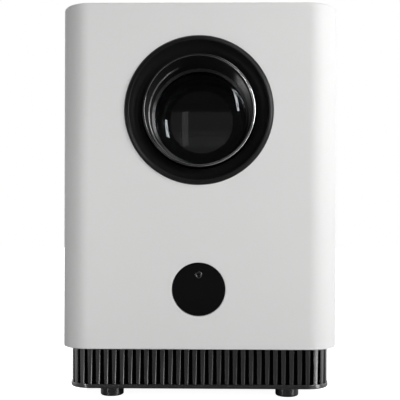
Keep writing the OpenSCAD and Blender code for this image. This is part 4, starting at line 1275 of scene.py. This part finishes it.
@dataclass
class RibbedBase:
    """The black base with its upright ribs, and the feet under it. Sizes are in millimetres."""

    width: float = 113.6
    corner: float = 9.8
    wall: float = 3.4
    bottom: float = 4.5
    bottom_round: float = 0.6
    top: float = 22.0
    neck: float = 2.4
    lip_h: float = 1.9
    lip_proud: float = 0.4
    ledge_w: float = 2.5
    ledge_low: float = 7.0
    ledge_high: float = 9.0
    groove_w: float = 1.65
    groove_d: float = 2.0
    groove_floor: float = 0.5
    groove_above: float = 0.4
    groove_outside: float = 0.5
    side_grooves: int = 27
    corner_grooves: int = 4
    rib_round: float = 0.45
    rib_least: float = 2.0
    foot_r: float = 5.1
    foot_top: float = 5.3
    foot_round: float = 0.8
    foot_groove_r: float = 3.3
    foot_groove_w: float = 0.8
    foot_groove_d: float = 0.25
    foot_x: float = 38.8
    foot_y: float = 47.0
    foot_steps: int = 48

    def section(self) -> Section:
        """Section of the base's wall before the grooves are cut, x outwards from the lip.

        Returns:
            Its corners, in millimetres.
        """
        lip_top = self.bottom + self.lip_h
        soft = self.lip_proud / 2
        face, inner, ledge = -self.lip_proud, -self.wall, -self.wall - self.ledge_w
        return [
            *arc((-self.bottom_round, self.bottom + self.bottom_round), self.bottom_round, -90, 0, 4),
            *arc((-soft, lip_top - soft), soft, 0, 90, 3),
            (face, lip_top), (face, self.top + self.neck), (inner, self.top + self.neck),
            (inner, self.ledge_high), (ledge, self.ledge_high), (ledge, self.ledge_low),
            (inner, self.ledge_low), (inner, self.bottom)]

    def groove_places(self) -> list[Matrix]:
        """Where each groove is cut: along the four sides and round the four corners.

        Returns:
            How the groove at the origin is moved and turned for each.
        """
        half = self.width / 2 - self.lip_proud
        radius = self.corner - self.lip_proud
        run = 2 * (half - radius)
        places = []
        for side in range(4):
            quarter = Matrix.Rotation(side * math.pi / 2, 4, "Z")
            for i in range(self.side_grooves):
                along = (i + 0.5 - self.side_grooves / 2) * run / self.side_grooves
                places.append(quarter @ Matrix.Translation((half * MM, along * MM, 0)))
            corner = Matrix.Translation(((half - radius) * MM, run / 2 * MM, 0))
            for i in range(self.corner_grooves):
                angle = (i + 0.5) * math.pi / 2 / self.corner_grooves
                places.append(quarter @ corner @ Matrix.Rotation(angle, 4, "Z")
                              @ Matrix.Translation((radius * MM, 0, 0)))
        return [Matrix.Translation((0, MID_Y, 0)) @ place for place in places]

    def build(self) -> None:
        """Models and dresses the base and its feet."""
        self.build_ribs()
        self.build_feet()

    def build_ribs(self) -> None:
        """Carries the wall round, cuts the grooves and softens the ribs."""
        base = Modeller.carried("ribbed_base", self.section(), self.width, self.width, self.corner)
        low = self.bottom + self.lip_h
        floor, over = self.groove_floor / 2, self.groove_outside
        flare = (self.groove_w - self.groove_floor) / 2 / self.groove_d
        mouth = self.groove_w / 2 + flare * over
        outline = [(over, -mouth), (over, mouth), (-self.groove_d, floor), (-self.groove_d, -floor)]
        groove = Modeller.prism(
            "groove_cutter", [Vector((x, y, low * MM)) for x, y in millimetres(outline)],
            Vector((0, 0, (self.top + self.groove_above - low) * MM)))
        groove.scatter(self.groove_places())
        base.cut(groove)
        base.round_edges(self.is_rib_edge, self.rib_round, 3, worn=True)
        base.dress(RIBS, Body.HOUSING, "base_skirt")

    def is_rib_edge(self, edge: bmesh.types.BMEdge) -> bool:
        """Says whether an edge is an upright corner of a rib.

        Args:
            edge: The edge.

        Returns:
            Whether it is long, upright and on the face of the ribs.
        """
        low, high = sorted(v.co.z / MM for v in edge.verts)
        if high - low < self.rib_least:
            return False
        return all(abs(self.inset(v.co) - self.lip_proud) < FACETED for v in edge.verts)

    def inset(self, place: Vector) -> float:
        """Finds how far a point lies inside the lip's outline.

        Args:
            place: The point, in metres.

        Returns:
            The distance, in millimetres.
        """
        reach = self.width / 2 - self.corner
        x = abs(place.x) / MM - reach
        y = abs(place.y - MID_Y) / MM - reach
        if x > 0 and y > 0:
            return self.corner - math.hypot(x, y)
        return self.corner - max(x, y)

    def build_feet(self) -> None:
        """Turns one foot, with the groove under it, and copies it to the other three places."""
        soft = self.foot_round
        groove, half, depth = self.foot_groove_r, self.foot_groove_w / 2, self.foot_groove_d
        section = [
            (0.0, 0.0), (groove - half, 0.0), (groove - half / 2, depth), (groove + half / 2, depth),
            (groove + half, 0.0), *arc((self.foot_r - soft, soft), soft, -90, 0, 5),
            (self.foot_r, self.foot_top), (0.0, self.foot_top)]
        x, y = self.foot_x * MM, self.foot_y * MM
        place = Vector((-x, MID_Y - y, 0))
        first = Modeller.turned("rubber_front_left_foot", section, place, self.foot_steps, Axis.Z)
        feet = {"front_left_foot": first}
        for node, move in (("front_right_foot", (2 * x, 0, 0)), ("rear_left_foot", (0, 2 * y, 0)),
                           ("rear_right_foot", (2 * x, 2 * y, 0))):
            feet[node] = first.copied(f"rubber_{node}", Matrix.Translation(move))
        for node, foot in feet.items():
            foot.dress(RUBBER, Body.HOUSING, node)


@dataclass
class LensFront:
    """The bezel, the hood and the glass that show in the lens opening. Sizes are in millimetres."""

    bezel_proud: float = 1.2
    rim_r: float = 2.4
    crest_r: float = 29.82
    crest_round: float = 0.22
    dish_r: float = 8.0
    dish_centre: Point = (22.374, -4.123)
    dish_depth: float = 3.5
    dish_round: float = 0.3
    bezel_in: float = 24.8
    collar: float = 6.0
    hole_r: float = 29.95
    barrel_r: float = 24.2
    barrel_front: float = -0.7
    barrel_back: float = 41.3
    back_r: float = 19.7
    rim_in: float = 23.0
    rim_round: float = 0.55
    bore_r: float = 22.0
    hood_front: float = -0.1
    hood_rings: int = 14
    ring_depth: float = 0.22
    ring_land: float = 0.5
    ring_drop: float = 0.55
    ring_rise: float = 0.87
    lug_front: float = 28.5
    lug_back: float = 35.5
    lug_reach: float = 29.5
    lug_half: float = 4.0
    lug_round: float = 0.4
    lug_overlap: float = 0.5
    ring_t: float = 17.2
    ring_h: float = 2.6
    ring_slope: float = 0.6
    glass_r: float = 21.9
    clear_r: float = 20.7
    front_curve: float = 70.0
    front_back: float = 23.6
    middle_front: float = 26.6
    middle_back: float = 32.0
    middle_curve: float = 63.0
    rear_back: float = 39.7
    cap_steps: int = 24
    steps: int = 128

    def build(self) -> None:
        """Models and dresses the pieces from the outside in."""
        self.build_bezel()
        self.build_barrel()
        self.build_ring()
        self.build_glass()

    def turned(self, name: str, section: Section) -> Modeller:
        """Turns a section of radius and depth about the lens axis."""
        return Modeller.turned(name, section, LENS_AXIS, self.steps)

    def build_bezel(self) -> None:
        """Turns the rim and the dish that runs in to the barrel."""
        crest = (self.crest_r, -self.bezel_proud)
        start = bearing(self.dish_centre, crest)
        end = bearing(self.dish_centre, (self.bezel_in, self.dish_depth))
        bezel = self.turned("bezel_ring", [
            *arc((self.crest_r, self.rim_r - self.bezel_proud), self.rim_r, -30, -90, 8),
            *arc(self.dish_centre, self.dish_r, start, end, 14)[1:],
            (self.bezel_in, self.collar), (self.hole_r, self.collar), (self.hole_r, 0.0)])
        crest_y, dish_y = FRONT_Y + crest[1] * MM, FRONT_Y + self.dish_depth * MM
        inner = self.bezel_in * MM
        bezel.round_edges(both_ends(lambda p: near(p.y, crest_y)), self.crest_round, 3)
        bezel.round_edges(
            both_ends(lambda p: near(p.y, dish_y) and near(math.hypot(p.x, p.z - LENS_Z), inner)),
            self.dish_round)
        bezel.dress(BEZEL, Body.HOUSING, "lens_bezel")

    def hood(self) -> Section:
        """Inner line of the hood: fine glare rings that narrow towards the glass.

        Returns:
            Its corners, as radius and depth in millimetres.
        """
        pitch = (self.ring_t - self.hood_front) / self.hood_rings
        line = []
        for i in range(self.hood_rings):
            t = self.hood_front + i * pitch
            r = self.rim_in - (self.rim_in - self.bore_r) * (i + 0.5) / self.hood_rings
            floor = r + self.ring_depth
            line += [(r, t), (r, t + self.ring_land * pitch), (floor, t + self.ring_drop * pitch),
                     (floor, t + self.ring_rise * pitch)]
        return line

    def build_barrel(self) -> None:
        """Turns the barrel with its rounded rim and sets its focus lug on it."""
        rim = self.rim_round
        barrel = self.turned("hood_barrel", [
            *arc((self.rim_in + rim, self.barrel_front + rim), rim, -180, -90, 4),
            *arc((self.barrel_r - rim, self.barrel_front + rim), rim, -90, 0, 4),
            (self.barrel_r, self.barrel_back), (self.back_r, self.barrel_back),
            (self.back_r, self.rear_back), (self.bore_r, self.rear_back), (self.bore_r, self.ring_t),
            *reversed(self.hood())])
        lug = Modeller.block(
            "focus_lug",
            Vector((self.barrel_r - self.lug_overlap, self.lug_front, -self.lug_half)) * MM + LENS_AXIS,
            Vector((self.lug_reach, self.lug_back, self.lug_half)) * MM + LENS_AXIS)
        lug.round_edges(both_ends(lambda p: near(p.x, self.lug_reach * MM)), self.lug_round)
        barrel.unite(lug)
        barrel.dress(HOOD, Body.LENS, "lens_barrel", angle=25.0)

    def build_ring(self) -> None:
        """Turns the ring that holds the front glass, with its chamfer."""
        low, high = self.ring_t, self.ring_t + self.ring_h
        ring = self.turned("hood_retainer", [
            (self.clear_r, high), (self.clear_r, low + self.ring_slope * (self.glass_r - self.clear_r)),
            (self.glass_r, low), (self.glass_r, high)])
        ring.dress(RING, Body.LENS, "retaining_ring", angle=25.0)

    def build_glass(self) -> None:
        """Turns the front glass, which bulges out, and the hollow glass behind it."""
        apex = self.ring_t + self.ring_h - self.sag(self.front_curve, self.clear_r)
        front = self.turned("front_glass", [
            *((r, apex + t) for r, t in self.cap(self.front_curve, self.glass_r)),
            (self.glass_r, self.front_back), (0.0, self.front_back)])
        front.dress(GLASS, Body.LENS, "front_lens", weighted=False)
        deep = self.middle_front + self.sag(self.middle_curve, self.clear_r)
        middle = self.turned("middle_glass", [
            *((r, deep - t) for r, t in self.cap(self.middle_curve, self.clear_r)),
            (self.glass_r, self.middle_front), (self.glass_r, self.middle_back), (0.0, self.middle_back)])
        middle.dress(INNER_GLASS, Body.LENS, "middle_lens", weighted=False)

    def cap(self, curve: float, radius: float) -> Section:
        """Section of a cap of a sphere, from its apex out to a radius."""
        rims = [radius * i / self.cap_steps for i in range(self.cap_steps + 1)]
        return [(r, self.sag(curve, r)) for r in rims]

    @staticmethod
    def sag(curve: float, radius: float) -> float:
        """Depth of a cap of a sphere at a distance from its axis."""
        return curve - math.sqrt(curve * curve - radius * radius)


@dataclass
class SensorWindow:
    """The smoked window low in the front and the small eye in it. Sizes are in millimetres."""

    radius: float = 11.2
    recess: float = 0.35
    flange_r: float = 13.05
    flange_front: float = 2.4
    flange_back: float = 3.6
    edge: float = 0.3
    steps: int = 96
    eye_rise: float = 6.2
    eye_r: float = 1.9
    eye_t: float = 0.3
    eye_ring: float = 1.15
    eye_tube: float = 0.5
    eye_bulge: tuple[Point, ...] = ((0.0, 0.1), (0.4, 0.08))
    eye_sink: float = 0.12
    eye_steps: int = 40

    def build(self) -> None:
        """Turns the window with its rounded edge, then the ringed eye on its face."""
        soft = self.edge
        window = Modeller.turned("sensor_glass", [
            (0.0, self.recess), *arc((self.radius - soft, self.recess + soft), soft, -90, 0, 4),
            (self.radius, self.flange_front), (self.flange_r, self.flange_front),
            (self.flange_r, self.flange_back), (0.0, self.flange_back)], WINDOW_AXIS, self.steps)
        window.dress(WINDOW, Body.HOUSING, "sensor_window")
        base = self.recess + self.eye_sink
        eye = Modeller.turned("camera_eye", [
            *((r, base - rise) for r, rise in self.eye_bulge),
            *arc((self.eye_ring, base), self.eye_tube, 180, 360, 14),
            (self.eye_r, base), (self.eye_r, base + self.eye_t), (0.0, base + self.eye_t)],
            WINDOW_AXIS + Vector((0, 0, self.eye_rise * MM)), self.eye_steps)
        eye.dress(EYE, Body.HOUSING)


@dataclass
class RearSide:
    """The rear panel, the power button and the screws that show. Sizes are in millimetres."""

    panel_edge: float = 0.3
    plate_edge: float = 0.2
    screw_edge: float = 0.12
    screw_edge_most: float = 4.0
    button_z: float = 139.0
    button_r: float = 4.0
    button_face: float = 119.8
    button_round: float = 0.4
    button_dish: tuple[Point, ...] = ((0.0, 0.35), (1.2, 0.3), (2.2, 0.15), (3.0, 0.0))
    flange_r: float = 5.0
    flange_front: float = 116.4
    flange_back: float = 117.4
    stem_r: float = 1.5
    button_steps: int = 64

    def build(self) -> None:
        """Copies the panel, plate and screws with softened edges and turns the button."""
        back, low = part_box("rear_panel")[1].y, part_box("base_plate")[0].z
        panel = Modeller.from_node("rear_cover", "rear_panel")
        panel.round_edges(both_ends(lambda p: near(p.y, back)), self.panel_edge)
        panel.dress(BLACK, Body.HOUSING, "rear_panel")
        plate = Modeller.from_node("bottom_plate", "base_plate")
        plate.round_edges(both_ends(lambda p: near(p.z, low)), self.plate_edge)
        plate.dress(BLACK, Body.HOUSING, "base_plate")
        for name, node in (("case_screw_set", "case_screws"), ("fan_screw_set", "fan_screws")):
            screws = Modeller.from_node(name, node)
            screws.round_edges(lambda e: e.calc_length() < self.screw_edge_most * MM, self.screw_edge)
            screws.dress(STEEL, Body.HOUSING, node)
        self.build_button()

    def build_button(self) -> None:
        """Turns the button with its dished face, flange and stem."""
        soft = self.button_round
        axis = Vector((0.0, FRONT_Y, self.button_z * MM))
        stem = (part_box("power_button")[0].y - FRONT_Y) / MM
        button = Modeller.turned("button_cap", [
            *((r, self.button_face - drop) for r, drop in self.button_dish),
            *arc((self.button_r - soft, self.button_face - soft), soft, 90, 0, 4),
            (self.button_r, self.flange_back), (self.flange_r, self.flange_back),
            (self.flange_r, self.flange_front), (self.stem_r, self.flange_front),
            (self.stem_r, stem), (0.0, stem)], axis, self.button_steps)
        button.dress(BLACK, Body.BUTTON, "power_button")


class Insides:
    """The CAD nodes that keep their own meshes."""

    def dress(self) -> None:
        """Gives each node that shows the finish of its slot in the record."""
        by_slot = {finish.slot: finish for finish in FINISHES}
        for entry in frame["record"]["subparts"]:
            name = entry["node"]
            node = frame["nodes"][name]
            if node.hide_render:
                continue
            finish = OWN_FINISH.get(name) or by_slot[entry["material_slot"]]
            node.data.materials.clear()
            node.data.materials.append(finish.material())
            LOG.info("%s: CAD mesh, %s", name, finish.slot)


# Scene


@dataclass(frozen=True)
class Softbox:
    """An area lamp.

    Attributes:
        name: Its name.
        azimuth: Direction seen from the lens, in degrees from the front towards the right.
        elevation: Height of that direction, in degrees.
        distance: Distance from the lens, in metres.
        size: Width and height, in metres.
        power: Power, in watts.
        deep: Whether the inner faces of the lenses mirror it too.
    """

    name: str
    azimuth: float
    elevation: float
    distance: float
    size: Point
    power: float
    deep: bool = False

    def build(self) -> None:
        """Adds the lamp, turned to the lens."""
        a, e = math.radians(self.azimuth), math.radians(self.elevation)
        away = Vector((math.sin(a) * math.cos(e), -math.cos(a) * math.cos(e), math.sin(e)))
        lamp = bpy.data.lights.new(self.name, "AREA")
        lamp.shape = "RECTANGLE"
        lamp.size, lamp.size_y = self.size
        lamp.energy = self.power
        obj = bpy.data.objects.new(self.name, lamp)
        obj.location = LENS_AXIS + away * self.distance
        obj.rotation_euler = (-away).to_track_quat("-Z", "Y").to_euler()
        obj.visible_transmission = self.deep
        bpy.context.scene.collection.objects.link(obj)


LAMPS = (
    Softbox("strip_right", 35.5, 17.7, 0.9, (0.052, 0.28), 0.85, deep=True),
    Softbox("strip_left", -43.0, -11.5, 0.25, (0.016, 0.105), 0.085, deep=True),
    Softbox("key_right", 63.0, 14.0, 0.7, (0.25, 0.42), 2.85),
    Softbox("side_right", 105.0, 14.0, 0.7, (0.5, 0.5), 0.4),
    Softbox("overhead_right", 32.0, 48.0, 0.8, (0.4, 0.4), 1.08),
    Softbox("stand_left", -16.3, 0.0, 0.4, (0.04, 0.22), 0.016),
    Softbox("fill_behind", 186.0, 25.0, 0.9, (0.6, 0.6), 3.0),
)


@dataclass(frozen=True)
class Studio:
    """The floor, the light of the room, the lamps and the camera.

    Attributes:
        room: Level of the room's own light.
        dim: Share by which that light is weaker from the left.
        left: Sines of the angles between which the left passes into the right.
        backdrop: The same for the front and the white backdrop behind the object.
        low: Level of the room behind the camera, as it is mirrored, near the floor.
        high: The same farther up.
        height: The same for these two levels.
        inner: The same level as the coated inner faces of the lenses mirror it.
        floor_w: Width of the floor, in metres.
        paper: Colour of the floor.
        mirrored: Colour of the floor in mirror images.
        deep: Colour of the floor as the inner faces of the lenses mirror it.
        sheen: Roughness of the floor.
        glow: Light that the camera gets from the floor near the object; farther off it is white.
        far: Distances between which the near floor passes into the far one, in metres.
        haze: Share of the far floor's light in mirror images.
        lens: Focal length of the camera, in millimetres.
        place: Place of the camera, in metres.
        yaw: Turn of the camera towards the left, in degrees.
        roll: Tilt of the picture, in degrees.
        shift: Shift of the picture, as shares of its width.
    """

    room: float = 0.155
    dim: float = 0.9
    left: Point = (-0.9, 0.1)
    backdrop: Point = (-0.2, 0.2)
    low: float = 0.22
    high: float = 0.06
    height: Point = (0.235, 0.249)
    inner: float = 0.03
    floor_w: float = 8.0
    paper: Colour = (0.8, 0.8, 0.8)
    mirrored: Colour = (0.45, 0.45, 0.45)
    deep: Colour = (0.02, 0.02, 0.02)
    sheen: float = 0.06
    glow: Colour = (0.96, 0.96, 0.96)
    far: Point = (0.35, 0.6)
    haze: float = 0.15
    lens: float = 61.375
    place: Triple = (11.7 * MM, -349.5 * MM, 70.0 * MM)
    yaw: float = 0.79
    roll: float = -0.15
    shift: Point = (-0.0417, 0.0924)

    def build(self) -> None:
        """Sets up everything that isn't the object."""
        bpy.context.scene.view_settings.view_transform = "Standard"
        self.light_room()
        self.lay_floor()
        for lamp in LAMPS:
            lamp.build()
        self.set_camera()

    @staticmethod
    def rays(graph: Graph) -> Iterator[Signal]:
        """A signal for each kind of ray that is 1 where a ray is of that kind."""
        return (graph.add("ShaderNodeLightPath", output=ray.value) for ray in Ray)

    def light_room(self) -> None:
        """A room that lights the object, weaker from the left, with a white backdrop behind it."""
        world = bpy.data.worlds.new("room")
        world.use_nodes = True
        bpy.context.scene.world = world
        graph = Graph(world.node_tree)
        towards = graph.add("ShaderNodeTexCoord", output="Generated")
        x, y, z = (graph.add("ShaderNodeSeparateXYZ", None, {0: towards}, output=axis) for axis in "XYZ")
        left, behind, above = 1 - x.step(*self.left), y.step(*self.backdrop), z.step(*self.height)
        camera, mirrored, through = self.rays(graph)
        front = (self.low * (1 - above) + self.high * above) * (1 - through) + self.inner * through
        seen = mirrored.larger(through)
        own = self.room * (1 - left * self.dim)
        strength = camera + (1 - camera) * (
            seen * (behind + (1 - behind) * front) + (1 - seen) * own)
        light = graph.add("ShaderNodeBackground", None, {"Color": FULL_WHITE, "Strength": strength})
        graph.add("ShaderNodeOutputWorld", None, {"Surface": light})

    def lay_floor(self) -> None:
        """A pale floor that shows white and keeps a soft shadow."""
        Modeller.clear()
        bpy.ops.mesh.primitive_plane_add(size=self.floor_w)
        floor = bpy.context.object
        floor.name = "floor"
        material = bpy.data.materials.new("floor_white")
        material.use_nodes = True
        graph = Graph(material.node_tree)
        camera, mirrored, through = self.rays(graph)
        paper = graph.add("ShaderNodeBsdfPrincipled", None, {
            "Base Color": mirrored.between(self.paper, self.mirrored), "Roughness": self.sheen})
        away = graph.add("ShaderNodeVectorMath", {"operation": "LENGTH"}, {0: graph.place()}, output="Value")
        far = away.step(*self.far)
        glow = graph.add("ShaderNodeEmission", None, {"Color": far.between(self.glow, FULL_WHITE)})
        lit = graph.add("ShaderNodeAddShader", None, {0: paper, 1: glow})
        seen = camera.larger(mirrored * far * self.haze)
        shown = graph.add("ShaderNodeMixShader", None, {0: seen, 1: paper, 2: lit})
        dark = graph.add("ShaderNodeBsdfDiffuse", None, {"Color": self.deep})
        both = graph.add("ShaderNodeMixShader", None, {0: through, 1: shown, 2: dark})
        graph.add("ShaderNodeOutputMaterial", None, {"Surface": both})
        floor.data.materials.append(material)

    def set_camera(self) -> None:
        """A level camera in front of the lens, its picture shifted up as in the photograph."""
        data = bpy.data.cameras.new("camera")
        data.lens = self.lens
        data.sensor_width = 36.0
        data.shift_x, data.shift_y = self.shift
        data.clip_start = 0.01
        camera = bpy.data.objects.new("camera", data)
        camera.location = self.place
        camera.rotation_euler = (math.pi / 2, math.radians(self.roll), math.radians(self.yaw))
        bpy.context.scene.collection.objects.link(camera)
        bpy.context.scene.camera = camera


def main() -> None:
    """Builds the pieces in order, then the studio."""
    logging.basicConfig(level=logging.INFO, format="%(name)s: %(message)s")
    for assembly in (Case(), RibbedBase(), LensFront(), SensorWindow(), RearSide()):
        LOG.info("building %s", type(assembly).__name__)
        assembly.build()
    Insides().dress()
    Studio().build()


if __name__ == "__main__":
    main()
